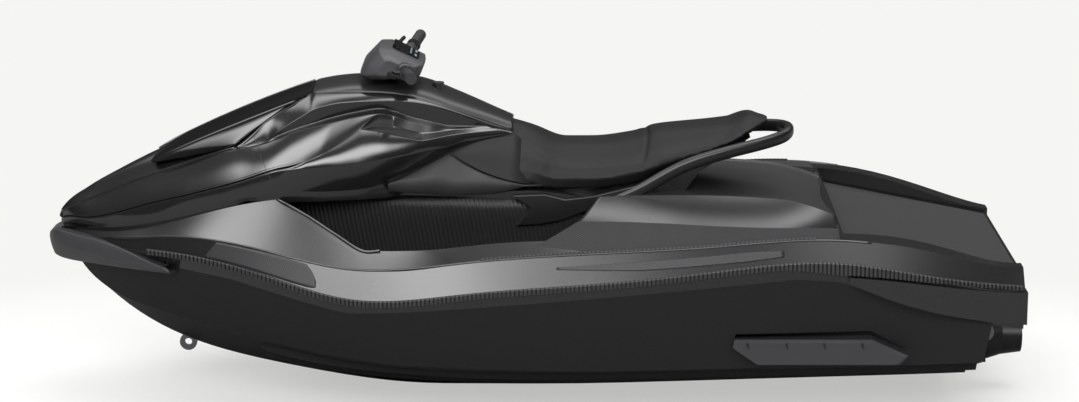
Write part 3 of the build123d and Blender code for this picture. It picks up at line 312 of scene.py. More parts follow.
def wall(piece, thickness, edge=0.0):
    """Gives a sheet its thickness inwards and rounds its creases and rims."""
    if thickness:
        solid = piece.modifiers.new("wall", "SOLIDIFY")
        solid.thickness = thickness
        solid.offset = -1.0
        solid.use_even_offset = False
    if edge:
        bevel = piece.modifiers.new("edges", "BEVEL")
        bevel.width = edge
        bevel.segments = 2
        bevel.limit_method = "ANGLE"
        bevel.angle_limit = math.radians(30.0)
        bevel.harden_normals = True
    return piece


def fit(piece, body, slot, *nodes):
    """Rides a body and stands for the nodes named, which it hides; its finish slot is not used."""
    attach(piece, body)
    if nodes:
        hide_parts(*nodes)


def mirrored(line, side):
    return line * (1.0, side, 1.0)


def sheet_of(x, out, up):
    """Points of a sheet, columns by rows by 3, from each column's x and each point's out and up."""
    return np.stack(np.broadcast_arrays(x[:, None], out, up), axis=-1)


def sheet_pair(name, sheet, towards, finishes, marks, thickness, slot, *nodes):
    """A walled sheet on each side, facing out and up as given, for the nodes named less their side."""
    for hand, side in SIDES.items():
        facing = (0, towards[0] * side, towards[1])
        piece = new_piece(f"{name}_{hand}", mirrored(sheet, side), facing, finishes, marks)
        fit(wall(piece, thickness), "hull", slot, *[f"{node}_{hand}" for node in nodes])


TURN = 2 * math.pi
WEAVE = 0.009
HATCH = 0.0105


def plain(name, level, roughness, grain=260.0, vary=0.08, **uniform):
    """A moulded or painted surface with faint mottling in its gloss."""
    shader = Finish(name, grey(level), roughness, **uniform)
    return shader.feed(Roughness=(shader.noise(grain) - 0.5) * vary + roughness)


def twill(shader):
    """A carbon twill, from 0 to 1: two sets of diagonal waves on whichever plane the surface faces most."""
    x, y, z = shader.place()
    steep = shader.facing()[2].size().smooth(0.62, 0.74)
    height = z * (1 - steep) + y * steep
    first = ((x + height) * (TURN / WEAVE)).wave()
    second = ((x - height) * (TURN / (2 * WEAVE))).wave()
    return first * second * 0.5 + 0.5


def woven(name, level, roughness, contrast, **uniform):
    """Woven composite under lacquer: the twill shows in tone and gloss."""
    shader = Finish(name, grey(level), roughness, **uniform)
    weave = twill(shader)
    return shader.feed(
        Base_Color=shader.tones(weave, level, 1 - contrast, 1 + 1.6 * contrast),
        Roughness=(0.5 - weave) * 0.12 * contrast + shader.noise(9.0) * 0.06 + roughness,
    )


# Parting line on the cowl's side: a point on it, its lean, and the reach up and out within which it shows
PARTING_ALONG = 0.795
PARTING_UP = 0.500
PARTING_LEAN = 0.62
PARTING_REACH_UP = (0.535, 0.095)
PARTING_REACH_OUT = (0.27, 0.085)


def paint_gloss(name, level, roughness):
    """Gloss paint with a dark parting line across the cowl's side and a slight mottling."""
    shader = Finish(name, grey(level), roughness, Coat_Weight=0.9, Coat_Roughness=0.06)
    x, y, z = shader.place()
    slanted = (x - PARTING_ALONG + (PARTING_UP - z) * PARTING_LEAN).size()
    within_up = (z - PARTING_REACH_UP[0]).size().below(PARTING_REACH_UP[1])
    within_out = (y.size() - PARTING_REACH_OUT[0]).size().below(PARTING_REACH_OUT[1])
    line = 1 - (1 - slanted.smooth(0.0006, 0.0020)) * (within_up * within_out)
    return shader.feed(
        Base_Color=shader.blend(line, shade(0.001), shade(level)),
        Roughness=(shader.noise(60.0) - 0.5) * 0.03 + (1 - line) * 0.4 + roughness,
        Normal=shader.bump(line, 0.6, 0.0015),
    )


def ribbed_rubber(name, level, roughness):
    """Matte rubber with fine moulded grain."""
    shader = Finish(name, grey(level), roughness)
    grain = shader.noise(900.0, 4.0)
    return shader.feed(
        Base_Color=shader.tones(shader.noise(14.0), level, 0.8, 1.25),
        Roughness=(grain - 0.5) * 0.2 + roughness,
        Normal=shader.bump(grain, 0.25, 0.0006),
    )


def grooved_foam(name, level):
    """Foam matting with diagonal brushed grooves, a fine hatch in relief, with painted shade: darker into
    each groove, lighter on the ridges.
    """
    shader = Finish(name, grey(level), 0.74)
    x, y = shader.place()[:2]
    hatch = ((x + y * 1.25) * (TURN / HATCH)).wave() * 0.5 + 0.5
    groove = hatch.smooth(0.15, 0.60)
    nap = shader.noise(1400.0, 3.0)
    # The base colour is painted shade, near black at the bottom of each groove.
    return shader.feed(
        Base_Color=shader.tones(groove, level, 0.15, 1.6),
        Roughness=nap * 0.15 + 0.66,
        Normal=shader.bump(groove + nap * 0.15, 0.7, 0.0015),
    )


def marine_vinyl(name, level):
    """Matte vinyl: a fine leather grain of small cells, with a broad change of sheen."""
    shader = Finish(name, grey(level), 0.50, Specular_IOR_Level=0.25)
    where = shader.node("ShaderNodeTexCoord", output="Object")
    inputs = {"Vector": where, "Scale": 420.0}
    grain = shader.node("ShaderNodeTexVoronoi", {"feature": "DISTANCE_TO_EDGE"}, inputs).smooth(0.0, 0.25)
    broad = shader.noise(6.0)
    return shader.feed(
        Base_Color=shader.tones(broad, level, 0.8, 1.25),
        Roughness=broad * 0.10 + grain * -0.06 + 0.46,
        Normal=shader.bump(grain, 0.22, 0.0005),
    )


def brushed_metal(name, level, roughness, metallic):
    """Metal with fine streaks along the craft in its gloss."""
    shader = Finish(name, (level, level, level * 1.03), roughness, Metallic=metallic)
    where = shader.node("ShaderNodeTexCoord", output="Object")
    turned = shader.node("ShaderNodeMapping", {}, {"Vector": where, "Scale": (8.0, 300.0, 300.0)})
    streak = shader.node("ShaderNodeTexNoise", {}, {"Vector": turned, "Scale": 3.0, "Detail": 3.0})
    return shader.feed(Roughness=(streak - 0.5) * 0.16 + roughness)


def display_glass(name):
    """Dark glass over a lit panel: a row of pale bars on each side and a row of plain blocks."""
    shader = Finish(name, grey(0.004), 0.07, Coat_Weight=0.6, Emission_Strength=0.9)
    x, y = shader.place()[:2]
    bars = y.cycle(0.011).above(0.32) * (y.size() - 0.030).size().below(0.016)
    row = (x - 0.352).size().below(0.0032)
    second = (x - 0.366).size().below(0.0022) * y.cycle(0.019).above(0.45) * y.size().below(0.045)
    lit = (bars * row + second).clamp()
    return shader.feed(Emission_Color=shader.blend(lit, (0, 0, 0, 1), (0.50, 0.66, 0.70, 1.0)))


MATERIALS = {
    "hull_shell": woven("hull composite", 0.0095, 0.52, 0.6, Specular_IOR_Level=0.22),
    "deck_shell": plain("deck composite", 0.009, 0.27, 5.0, 0.03, Coat_Weight=0.7, Coat_Roughness=0.16),
    "gloss_cowl": paint_gloss("gloss paint", 0.009, 0.20),
    "visor_gloss": plain("visor gloss", 0.004, 0.10, 40.0, Coat_Weight=0.6),
    "satin_trim": plain("satin moulding", 0.030, 0.40),
    "rub_rubber": ribbed_rubber("rub rubber", 0.026, 0.42),
    "grip_rubber": ribbed_rubber("grip rubber", 0.016, 0.62),
    "mat_foam": grooved_foam("deck foam", 0.015),
    "pad_rubber": ribbed_rubber("padding", 0.008, 0.50),
    "seat_vinyl": marine_vinyl("marine vinyl", 0.006),
    "rail_tube": plain("coated tube", 0.010, 0.30),
    "screen_glass": display_glass("screen glass"),
    "black_metal": brushed_metal("anodised metal", 0.030, 0.36, 0.85),
    "bright_steel": brushed_metal("stainless steel", 0.22, 0.34, 1.0),
}
# Near-black painted shade, laid in the slot and groove under the cowl's leaf, between the ribs of the rub
# rails and gunwale beads, and on the sponsons' slot marks.
PAINTED_SLOT_SHADE = plain("slot shadow", 0.003, 0.6)
WEAVE_PANEL = woven("woven panel", 0.014, 0.42, 0.85)
CONSOLE_SATIN = plain("console cover", 0.018, 0.30, 30.0, 0.04, Coat_Weight=0.3, Coat_Roughness=0.2)
POD_SATIN = plain("pod moulding", 0.050, 0.42)
REAR_MATTE = ribbed_rubber("rear matte", 0.008, 0.55)
for row in frame["record"]["subparts"]:
    node = frame["nodes"][row["node"]]
    node.data.materials.clear()
    node.data.materials.append(MATERIALS[row["material_slot"]])


# Feature lines of the cowl, port side: along, out and up
CROWN = metres(
    (1421, 0, 252), (1415, 0, 278), (1330, 0, 347), (1232, 0, 403), (1145, 0, 448), (1072, 0, 482),
    (978, 0, 527), (867, 0, 580), (756, 0, 628), (655, 0, 659),
)
CONSOLE_CROWN = metres(
    (670, 0, 652), (591, 0, 668), (517, 0, 675), (402, 0, 673), (329, 0, 661), (234, 0, 626), (145, 0, 590),
    (66, 0, 556),
)
UPPER_CREASE = metres(
    (1416, 4, 262), (1389, 35, 287), (1291, 65, 332), (1166, 105, 390), (1012, 145, 451), (879, 188, 499),
    (825, 202, 510), (785, 206, 524), (747, 207, 555), (684, 207, 597), (630, 204, 627), (558, 195, 640),
    (467, 185, 643), (410, 178, 642), (350, 170, 636), (306, 163, 626), (209, 142, 588), (122, 118, 550),
    (66, 104, 536),
)
HOOD_EDGE = metres(
    (960, 161, 472), (868, 188, 504), (828, 180, 534), (784, 165, 574), (711, 135, 618), (661, 104, 645),
    (655, 101, 646),
)
CONSOLE_EDGE = metres(
    (655, 101, 646), (644, 110, 651), (560, 130, 658), (472, 138, 659), (396, 142, 654), (346, 146, 645),
    (280, 142, 623), (209, 130, 594), (105, 104, 551), (66, 94, 540),
)
LEAF_UPPER = metres(
    (825, 203, 509), (785, 207, 522), (706, 222, 554), (640, 233, 575), (586, 238, 590), (520, 236, 604),
    (451, 225, 613), (410, 216, 604), (371, 206, 588), (307, 190, 570), (247, 165, 555), (123, 122, 548),
    (66, 106, 535),
)
LEAF_LOWER = metres(
    (1416, 6, 256), (1387, 40, 268), (1318, 100, 278), (1108, 200, 348), (1001, 250, 383), (848, 300, 434),
    (751, 318, 470), (677, 322, 488), (618, 315, 511), (554, 290, 543), (504, 262, 575), (452, 226, 612),
    (410, 217, 603), (371, 207, 587), (307, 191, 569), (247, 166, 554), (123, 123, 547), (66, 107, 534),
)
SLOT_MIDDLE = metres(
    (504, 262, 575), (470, 252, 582), (413, 236, 577), (322, 212, 553), (247, 169, 552), (123, 124, 546),
    (66, 108, 533),
)
SLOT_LOWER = metres(
    (504, 263, 575), (461, 266, 569), (401, 260, 555), (342, 250, 541), (326, 244, 538), (230, 180, 543),
    (113, 124, 543), (66, 109, 532),
)
SIDE_CREASE = metres(
    (760, 318, 459), (676, 330, 472), (618, 332, 477), (487, 313, 489), (372, 275, 502), (263, 215, 511),
    (190, 165, 523), (66, 110, 531),
)
STRIP_LOWER = metres(
    (1416, 8, 238), (1354, 60, 238), (1293, 110, 250), (1149, 190, 300), (1002, 254, 338), (864, 300, 376),
    (740, 322, 400), (640, 316, 404), (560, 302, 404), (490, 287, 408), (410, 262, 427), (337, 235, 456),
    (256, 196, 496), (153, 146, 520), (66, 110, 529),
)
NOSE_ALONG = 1.421
HOOD_EDGE_FRONT_ALONG = 0.868
HOOD_BACK_ALONG = 0.655
COWL_BACK_ALONG = 0.066
LEAF_FRONT_ALONG = 0.825
SLOT_FRONT_ALONG = 0.504
FACET_FRONT_ALONG = 0.413
SLOT_BACK_ALONG = 0.328
CREASE_FRONT_ALONG = 0.760
CREASE_FULL_ALONG = 0.660
SEAM_BACK_ALONG = 0.680
# Where the tucked edge starts and ends its climb to the deck, fore and aft
TUCK_FORE = (0.93, 0.83)
TUCK_AFT = (0.36, 0.46)
TUCK_DEEP = 0.05
SLOT_DEPTH = 0.010
DECK_UP = 0.372
SKIN = 0.006
# Where the steering column passes through the console's cover, and the radius of the hole for it
COLUMN_AT = (0.4266, 0.0)
COLUMN_HOLE = 0.026


def upper_border(x):
    """The line where the side skin ends above: the crease itself, the hood's edge, the console's edge."""
    crease, hood, console = smooth_lines(x, UPPER_CREASE, HOOD_EDGE, CONSOLE_EDGE)
    border = np.where((x > HOOD_EDGE_FRONT_ALONG)[:, None], crease, hood)
    return np.where((x < HOOD_BACK_ALONG)[:, None], console, border)


def cowl_sides(paint, dark):
    """Side skins, from the top down: shoulder, stepped valley, leaf, slot, groove, side crease, tucked edge.

    Each is a sheet between feature lines that run fore and aft; behind the leaf's tip opens a slot, whose
    faces are painted near black as shade.
    """
    x = np.concatenate([np.linspace(NOSE_ALONG - 0.005, 0.90, 60), np.linspace(0.895, COWL_BACK_ALONG, 150)])
    column = x[:, None]
    top = upper_border(x)
    crease = smooth_line(UPPER_CREASE, x)
    leaf_top = np.where(column > LEAF_FRONT_ALONG, crease, smooth_line(LEAF_UPPER, x))
    valley_up = np.minimum(leaf_top[:, 2] + 0.006, crease[:, 2] - 0.0004)
    valley = np.column_stack([x, crease[:, 1] - 0.003, valley_up])
    leaf_low = smooth_line(LEAF_LOWER, x)
    behind = column < SLOT_FRONT_ALONG
    middle = np.where(behind, smooth_line(SLOT_MIDDLE, x), leaf_low)
    slot_low = np.where(behind, smooth_line(SLOT_LOWER, x), leaf_low)
    strip_low = smooth_line(STRIP_LOWER, x)
    groove = slot_low + rise(x, 0.660, 0.710)[:, None] * (0.0, -0.007, -0.003)
    under_leaf = slot_low + (0.0, 0.001, -0.007)
    hand_over = rise(x, CREASE_FRONT_ALONG, CREASE_FULL_ALONG)[:, None]
    hand_over = hand_over**2 * (3 - 2 * hand_over)
    crossing = under_leaf + (smooth_line(SIDE_CREASE, x) - under_leaf) * hand_over
    tuck = strip_low + (0.0, -0.006, 0.0)
    deep = strip_low[:, 2] - TUCK_DEEP
    shallow = rise(x, *TUCK_FORE) * rise(x, *TUCK_AFT)
    tuck[:, 2] = deep + (np.minimum(strip_low[:, 2] - 0.004, DECK_UP) - deep) * shallow
    leaf_wide = np.linalg.norm(leaf_low - leaf_top, axis=1)
    upper_tall = np.linalg.norm(crossing - groove, axis=1)
    lower_tall = np.linalg.norm(strip_low - crossing, axis=1)
    slot_ends = (SLOT_FRONT_ALONG, SLOT_FRONT_ALONG - 0.03), (SLOT_BACK_ALONG, SLOT_BACK_ALONG + 0.02)
    sunk = -SLOT_DEPTH * rise(x, *slot_ends[0]) * rise(x, *slot_ends[1])
    facet = np.where(x > FACET_FRONT_ALONG, sunk, 0.0)
    bows = [0.003, 0.0, 0.0, 0.05 * leaf_wide, facet, sunk, 0.0, 0.08 * upper_tall, 0.04 * lower_tall, 0.0]
    lines = [top, crease, valley, leaf_top, leaf_low, middle, slot_low, groove, crossing, strip_low, tuck]
    sheet, strips = between(lines, bows, [5, 4, 4, 10, 4, 4, 1, 8, 6, 2])
    strip = np.tile(strips, (len(x) - 1, 1))
    here = column[:-1]
    # Faces painted near black as shade: the slot behind the leaf, and the groove under the leaf ahead of the
    # seam's end.
    shaded = (strip == 4) & (here > FACET_FRONT_ALONG) & (here < SLOT_FRONT_ALONG)
    shaded |= (strip == 5) & (here > SLOT_BACK_ALONG) & (here < SLOT_FRONT_ALONG)
    shaded |= (strip == 6) & (here > SEAM_BACK_ALONG)
    marks = shaded.astype(int).reshape(-1)
    stands_for = ("nose_panel", "side_fairing", "side_vent")
    sheet_pair("cowl_side", sheet, (1, 0.4), [paint, dark], marks, SKIN, "gloss_cowl", *stands_for)


def console_skin(paint):
    """The console's cover: a flattened arc from edge to edge, for each place along.

    Points nearer the steering column than the hole's radius move out to it; the faces between are left out.
    """
    x = np.linspace(HOOD_BACK_ALONG, COWL_BACK_ALONG, 90)
    crown, edge = smooth_lines(x, CONSOLE_CROWN, CONSOLE_EDGE)
    across = np.linspace(-1, 1, 41)[None, :]
    reach = np.abs(across)
    out = edge[:, 1:2] * across
    up = crown[:, 2:3] - (crown - edge)[:, 2:3] * (0.25 * reach**1.6 + 0.75 * reach**5)
    sheet = sheet_of(x, out, up)
    away = sheet[..., :2] - COLUMN_AT
    far = np.linalg.norm(away, axis=-1, keepdims=True)
    inside = (far < COLUMN_HOLE).reshape(-1)
    sheet[..., :2] += away * np.maximum(COLUMN_HOLE / np.maximum(far, 1e-4) - 1, 0)
    faces = grid_faces(*out.shape)
    faces = faces[~inside[faces].all(axis=1)]
    used, corners = np.unique(faces, return_inverse=True)
    faces = corners.reshape(faces.shape)
    piece = new_piece("console_skin", sheet.reshape(-1, 3)[used], (0, 0, 1), [paint], faces=faces)
    fit(wall(piece, SKIN), "hull", "satin_trim", "console")


def hood_skin(paint):
    """The hood: a ridged arc over the crown from border to border, for each place along."""
    x = np.concatenate([np.linspace(NOSE_ALONG, 1.38, 9), np.linspace(1.37, HOOD_BACK_ALONG + 0.001, 74)])
    crown, border = smooth_line(CROWN, x), upper_border(x)
    across = np.linspace(-1, 1, 37)[None, :]
    reach = np.abs(across)
    up = crown[:, 2:3] - (crown - border)[:, 2:3] * (0.35 * reach + 0.65 * reach**2.2)
    piece = new_piece("hood_skin", sheet_of(x, border[:, 1:2] * across, up), (0, 0, 1), [paint])
    fit(wall(piece, SKIN), "hood", "gloss_cowl", "hood")


# Visor outline, port side, from its front point on the crown round its foot and up its rear edge
VISOR_FOOT = metres(
    (1082, 0, 480), (1128, 70, 447), (1120, 108, 442), (1050, 134, 458), (972, 158, 478), (915, 176, 494),
    (872, 186, 510),
)
VISOR_REAR = metres(
    (660, 0, 657), (657, 50, 653), (662, 100, 642), (703, 127, 624), (752, 147, 595), (800, 164, 562),
    (845, 179, 528), (872, 186, 508),
)
VISOR_WALL = 0.005


def visor_skin(gloss):
    """The visor: ruled between its foot line and its rear edge, with a parabolic bulge in between."""
    count = 46
    foot = rounded_path(VISOR_FOOT, count)
    rear = rounded_path(VISOR_REAR, count)
    share = np.linspace(0, 1, 40)[:, None, None]
    sheet = foot[None] + (rear - foot)[None] * share
    bulge = 4 * share * (1 - share)
    span = np.linalg.norm(rear - foot, axis=1)[None, :, None]
    sheet = sheet + bulge * span * (0.0, 0.020, 0.018)
    lifted = 0.003 + 0.005 * rise(share, 0.0, 0.12) ** 0.7
    sheet[..., 2] += lifted[..., 0]
    both = np.concatenate([mirrored(sheet[:, :0:-1], -1.0), sheet], axis=1)
    piece = new_piece("visor_skin", both, (0, 0, 1), [gloss])
    fit(wall(piece, VISOR_WALL, 0.0015), "hood", "visor_gloss", "visor")


# Padded wings ahead of the saddle, port side: upper seam, lower edge of the saddle's flap, ridge and foot
WING_UPPER = metres(
    (425, 290, 425), (373, 262, 443), (300, 222, 472), (256, 194, 492), (153, 144, 517), (70, 114, 524),
    (30, 116, 500), (-20, 120, 462),
)
FLAP_LOWER = metres(
    (425, 291, 424), (373, 264, 441), (300, 225, 470), (256, 199, 490), (204, 208, 464), (153, 214, 439),
    (101, 216, 421), (30, 214, 402), (-20, 210, 390),
)
WING_RIDGE = metres(
    (425, 292, 421), (373, 272, 430), (300, 257, 432), (241, 243, 427), (152, 232, 423), (97, 226, 414),
    (30, 216, 398),
)
WING_FOOT = metres((425, 290, 398), (336, 268, 387), (219, 246, 376), (115, 232, 379), (30, 216, 394))
WING_FRONT_ALONG = 0.424
WING_BACK_ALONG = -0.020
FLAP_PROUD = 0.007
FLAP_DIVE = 0.040


def saddle_wings(vinyl, padding):
    """The saddle's front flaps, each over a padded wing: a bowed flap, a step in, a ledge, then a bowed side.

    Towards the saddle a flap first stands proud and then dives in under the saddle's own side.
    """
    x = np.linspace(WING_FRONT_ALONG, WING_BACK_ALONG, 76)
    dive = np.zeros((len(x), 3))
    dive[:, 1] = FLAP_PROUD * rise(x, 0.20, 0.07) - FLAP_DIVE * rise(x, 0.085, WING_BACK_ALONG) ** 2.2
    upper, flap = (line + dive for line in smooth_lines(x, WING_UPPER, FLAP_LOWER))
    ridge, foot = (line + dive * 0.5 for line in smooth_lines(x, WING_RIDGE, WING_FOOT))
    tuck_in = upper + (0.0, -0.012, 0.006)
    step = flap + (0.0, -0.007, -0.001)
    tuck_low = foot + (0.0, -0.030, -0.006)
    flap_tall = np.linalg.norm(flap - upper, axis=1)
    wing_tall = np.linalg.norm(foot - ridge, axis=1)
    lines = [tuck_in, upper, flap, step, ridge, foot, tuck_low]
    bows = [0.0, 0.06 * flap_tall, 0.0, 0.0, 0.08 * wing_tall, 0.0]
    sheet, strips = between(lines, bows, [1, 9, 1, 4, 6, 2])
    marks = np.tile((strips > 2).astype(int), len(x) - 1)
    sheet_pair("saddle_wing", sheet, (1, 0.4), [vinyl, padding], marks, SKIN, "pad_rubber")


# Saddle lines, port side: along, out and up
SADDLE_CROWN = metres(
    (71, 0, 559), (36, 0, 545), (-12, 0, 520), (-60, 0, 495), (-89, 0, 487), (-173, 0, 487), (-290, 0, 502),
    (-361, 0, 524), (-569, 0, 545), (-641, 0, 568), (-690, 0, 566),
)
SADDLE_CREASE = metres(
    (71, 105, 524), (36, 130, 500), (-12, 160, 472), (-73, 186, 440), (-134, 192, 434), (-300, 192, 450),
    (-361, 190, 470), (-448, 178, 488), (-557, 158, 515), (-642, 112, 550), (-690, 40, 560),
)
SADDLE_BELT = metres(
    (71, 190, 462), (-12, 206, 430), (-75, 210, 412), (-170, 210, 411), (-300, 204, 430), (-448, 184, 470),
    (-565, 162, 508), (-647, 112, 545), (-690, 40, 555),
)
SADDLE_FOOT = metres(
    (71, 214, 415), (-75, 206, 380), (-187, 202, 381), (-300, 190, 394), (-373, 168, 424), (-444, 150, 455),
    (-568, 124, 500), (-649, 86, 538), (-690, 32, 550),
)
SADDLE_FRONT = 0.071
SADDLE_BACK = -0.690
SWELL_CAP = 0.006
SADDLE_INSET = 0.004
VOXEL = 0.006
CLOTH_PRESSURE = 4.0
CLOTH_FRAMES = 20
# Seams: how deep and wide, where the cross seam lies at its reference height, and its lean
SEAM_DEPTH = 0.004
SEAM_WIDE = 0.006
SEAM_ALONG = -0.325
SEAM_UP = 0.50
SEAM_LEAN = 0.3


def saddle_ring(x, inset):
    """Rings of the saddle at each x: an arch down to the crease, a face to the belt, a face to the foot.

    Returns columns by ring points by 3, closed round both sides and along a flat underside.
    """
    crown, crease, belt, foot = smooth_lines(x, SADDLE_CROWN, SADDLE_CREASE, SADDLE_BELT, SADDLE_FOOT)
    turn = np.linspace(0, 1, 13)[None, :, None]
    arch = crown[:, None] + (crease - crown)[:, None] * turn
    arch[..., 2] += ((crown - crease)[:, None, 2:3] * (turn - turn**2.4))[..., 0]
    share = np.linspace(0, 1, 6)[1:][None, :, None]
    face = crease[:, None] + (belt - crease)[:, None] * share
    low = belt[:, None] + (foot - belt)[:, None] * share
    under = foot[:, None] * (1.0, 0.0, 1.0) + foot[:, None] * (0.0, 1.0, 0.0) * (1 - share)
    half = np.concatenate([arch, face, low, under], axis=1)
    inward = half[:, :1] * 0.5 + half[:, -1:] * 0.5 - half
    half = half + inward * inset / np.maximum(np.linalg.norm(inward, axis=-1, keepdims=True), 0.02)
    return np.concatenate([half, mirrored(half[:, -2:0:-1], -1.0)], axis=1)


def swollen(piece, cap):
    """Cloth under light pressure for some frames, each point moved no further than the cap."""
    piece.modifiers.new("voxels", "REMESH").voxel_size = VOXEL
    bake(piece)
    rest = corners_of(piece.data)
    cloth = piece.modifiers.new("stuffing", "CLOTH")
    cloth.settings.use_pressure = True
    cloth.settings.uniform_pressure_force = CLOTH_PRESSURE
    cloth.settings.effector_weights.gravity = 0.0
    cloth.settings.quality = 5
    for step in range(1, CLOTH_FRAMES + 1):
        bpy.context.scene.frame_set(step)
    bake(piece)
    moved = corners_of(piece.data) - rest
    far = np.linalg.norm(moved, axis=1, keepdims=True)
    put_corners(piece.data, rest + moved * np.minimum(1, cap / np.maximum(far, 1e-9)))
    bpy.context.scene.frame_set(1)


def bake(piece):
    """Replaces a piece's mesh by what its modifiers make of it."""
    seen = piece.evaluated_get(bpy.context.evaluated_depsgraph_get())
    made = bpy.data.meshes.new_from_object(seen)
    piece.modifiers.clear()
    piece.data = made


def corners_of(mesh):
    flat = np.zeros(len(mesh.vertices) * 3, np.float32)
    mesh.vertices.foreach_get("co", flat)
    return flat.reshape(-1, 3).astype(float)


def put_corners(mesh, points):
    mesh.vertices.foreach_set("co", np.ascontiguousarray(points, np.float32).reshape(-1))
    mesh.update()


def sewn_seams(points):
    """How deep each point of the saddle sinks at its seams: across behind the rider, and along the crease."""
    x, y, z = points.T
    crease = smooth_line(SADDLE_CREASE, x)
    seam_at = SEAM_ALONG - SEAM_LEAN * (z - SEAM_UP)
    cross = np.exp(-(((x - seam_at) / SEAM_WIDE) ** 2)) * rise(z, 0.42, 0.47)
    beside = np.hypot(np.abs(y) - crease[:, 1], z - crease[:, 2])
    along = np.exp(-((beside / SEAM_WIDE) ** 2))
    return SEAM_DEPTH * np.maximum(cross, 0.8 * along * (x < 0.03))


def saddle(vinyl):
    """The padded saddle: closed rings, swollen by cloth pressure, then sunk along its seams."""
    x = np.concatenate([np.linspace(SADDLE_FRONT, -0.10, 20), np.linspace(-0.11, SADDLE_BACK, 60)])
    inset = SADDLE_INSET
    rings = saddle_ring(x, inset)
    columns, count = rings.shape[:2]
    faces = grid_faces(columns, count, around=True)
    middles = np.stack([rings[0].mean(axis=0), rings[-1].mean(axis=0)])
    points = np.vstack([rings.reshape(-1, 3), middles])
    around = np.arange(count)
    after = np.roll(around, -1)
    last, middle = (columns - 1) * count, columns * count
    front = np.column_stack([around, after, np.full(count, middle)])
    back = np.column_stack([last + after, last + around, np.full(count, middle + 1)])
    mesh = bpy.data.meshes.new("saddle")
    mesh.from_pydata(points.tolist(), [], faces.tolist() + front.tolist() + back.tolist())
    merged(mesh, 1e-5, outward=True)
    piece = placed("saddle", mesh)
    swollen(piece, SWELL_CAP)
    points = corners_of(piece.data)
    normals = np.zeros(len(points) * 3, np.float32)
    piece.data.vertices.foreach_get("normal", normals)
    put_corners(piece.data, points - normals.reshape(-1, 3) * sewn_seams(points)[:, None])
    smooth = piece.modifiers.new("relax", "SMOOTH")
    smooth.factor, smooth.iterations = 0.5, 2
    bake(piece)
    subdivide = piece.modifiers.new("round", "SUBSURF")
    subdivide.levels = subdivide.render_levels = 1
    all_smooth(piece.data)
    piece.data.materials.clear()
    piece.data.materials.append(vinyl)
    fit(piece, "hull", "seat_vinyl", "seat")


# Lines of hull and deck, port side: along, out and up
RAIL = metres(
    (1372, 58, 200), (1240, 205, 212), (1060, 322, 219), (800, 452, 193), (521, 540, 135), (200, 579, 160),
    (-200, 585, 194), (-500, 580, 226), (-850, 560, 246), (-1150, 515, 192), (-1401, 427, 146),
)
GUNWALE = metres(
    (1372, 53, 222), (1240, 190, 236), (1060, 301, 266), (800, 424, 262), (521, 506, 222), (200, 532, 247),
    (-200, 532, 275), (-500, 530, 292), (-850, 506, 306), (-1150, 465, 258), (-1401, 383, 196),
)
SHOULDER = metres(
    (1060, 249, 296), (800, 313, 372), (521, 319, 386), (200, 228, 378), (-200, 225, 352), (-500, 216, 300),
    (-850, 216, 309), (-1150, 216, 262),
)
RIB_PITCH = 0.012
RIB_SHARE = 0.6


def fair_line(points, x):
    """Points (x, out, up) at each x on the natural cubic spline through the points given."""
    points = points[np.argsort(points[:, 0])]
    knots, values = points[:, 0], points[:, 1:]
    gaps = np.diff(knots)
    count = len(knots)
    matrix = np.eye(count)
    pull = np.zeros((count, 2))
    inner = np.arange(1, count - 1)
    matrix[inner, inner - 1] = gaps[:-1]
    matrix[inner, inner] = 2 * (gaps[:-1] + gaps[1:])
    matrix[inner, inner + 1] = gaps[1:]
    rises = np.diff(values, axis=0) / gaps[:, None]
    pull[1:-1] = 6 * np.diff(rises, axis=0)
    bend = np.linalg.solve(matrix, pull)
    left = np.clip(np.searchsorted(knots, x) - 1, 0, count - 2)
    span = gaps[left][:, None]
    ahead = (x - knots[left])[:, None]
    back = span - ahead
    place = (
        bend[left] * back**3 / (6 * span) + bend[left + 1] * ahead**3 / (6 * span)
        + (values[left] / span - bend[left] * span / 6) * back
        + (values[left + 1] / span - bend[left + 1] * span / 6) * ahead
    )
    return np.column_stack([x, place])


def capped(columns, rows):
    """Faces of a closed tube of rings with both ends filled."""
    faces = grid_faces(columns, rows, around=True).tolist()
    return faces + [list(range(rows))[::-1], list(range((columns - 1) * rows, columns * rows))]


def solid_piece(name, rings, finishes, edge=0.0, smooth=False, marks=None):
    """A closed solid over rings of points, columns by rows by 3, with its faces turned outwards.

    Marks give the finish of each step from ring to ring.
    """
    columns, rows = rings.shape[:2]
    mesh = bpy.data.meshes.new(name)
    mesh.from_pydata(rings.reshape(-1, 3).tolist(), [], capped(columns, rows))
    for item in finishes:
        mesh.materials.append(item)
    if marks is not None:
        of_face = np.append(np.repeat(marks, rows), [0, 0])
        mesh.polygons.foreach_set("material_index", of_face.astype(np.int32))
    merged(mesh, 1e-6, outward=True)
    if edge or smooth:
        all_smooth(mesh)
    return wall(placed(name, mesh), 0.0, edge)


def solid_pair(name, rings, finishes, slot, *nodes, **how):
    """A closed solid on each side, for the nodes named less their side."""
    for hand, side in SIDES.items():
        piece = solid_piece(f"{name}_{hand}", mirrored(rings, side), finishes, **how)
        fit(piece, "hull", slot, *[f"{node}_{hand}" for node in nodes])


def bead_pair(name, path, radius, count, finish_of):
    """A thin round bead along a path on each side, riding the hull."""
    for hand, side in SIDES.items():
        rings = tube(mirrored(path, side), oval(radius, radius, count, 1.0), (0, 0, 1))
        fit(solid_piece(f"{name}_{hand}", rings, [finish_of], smooth=True), "hull", "deck_shell")


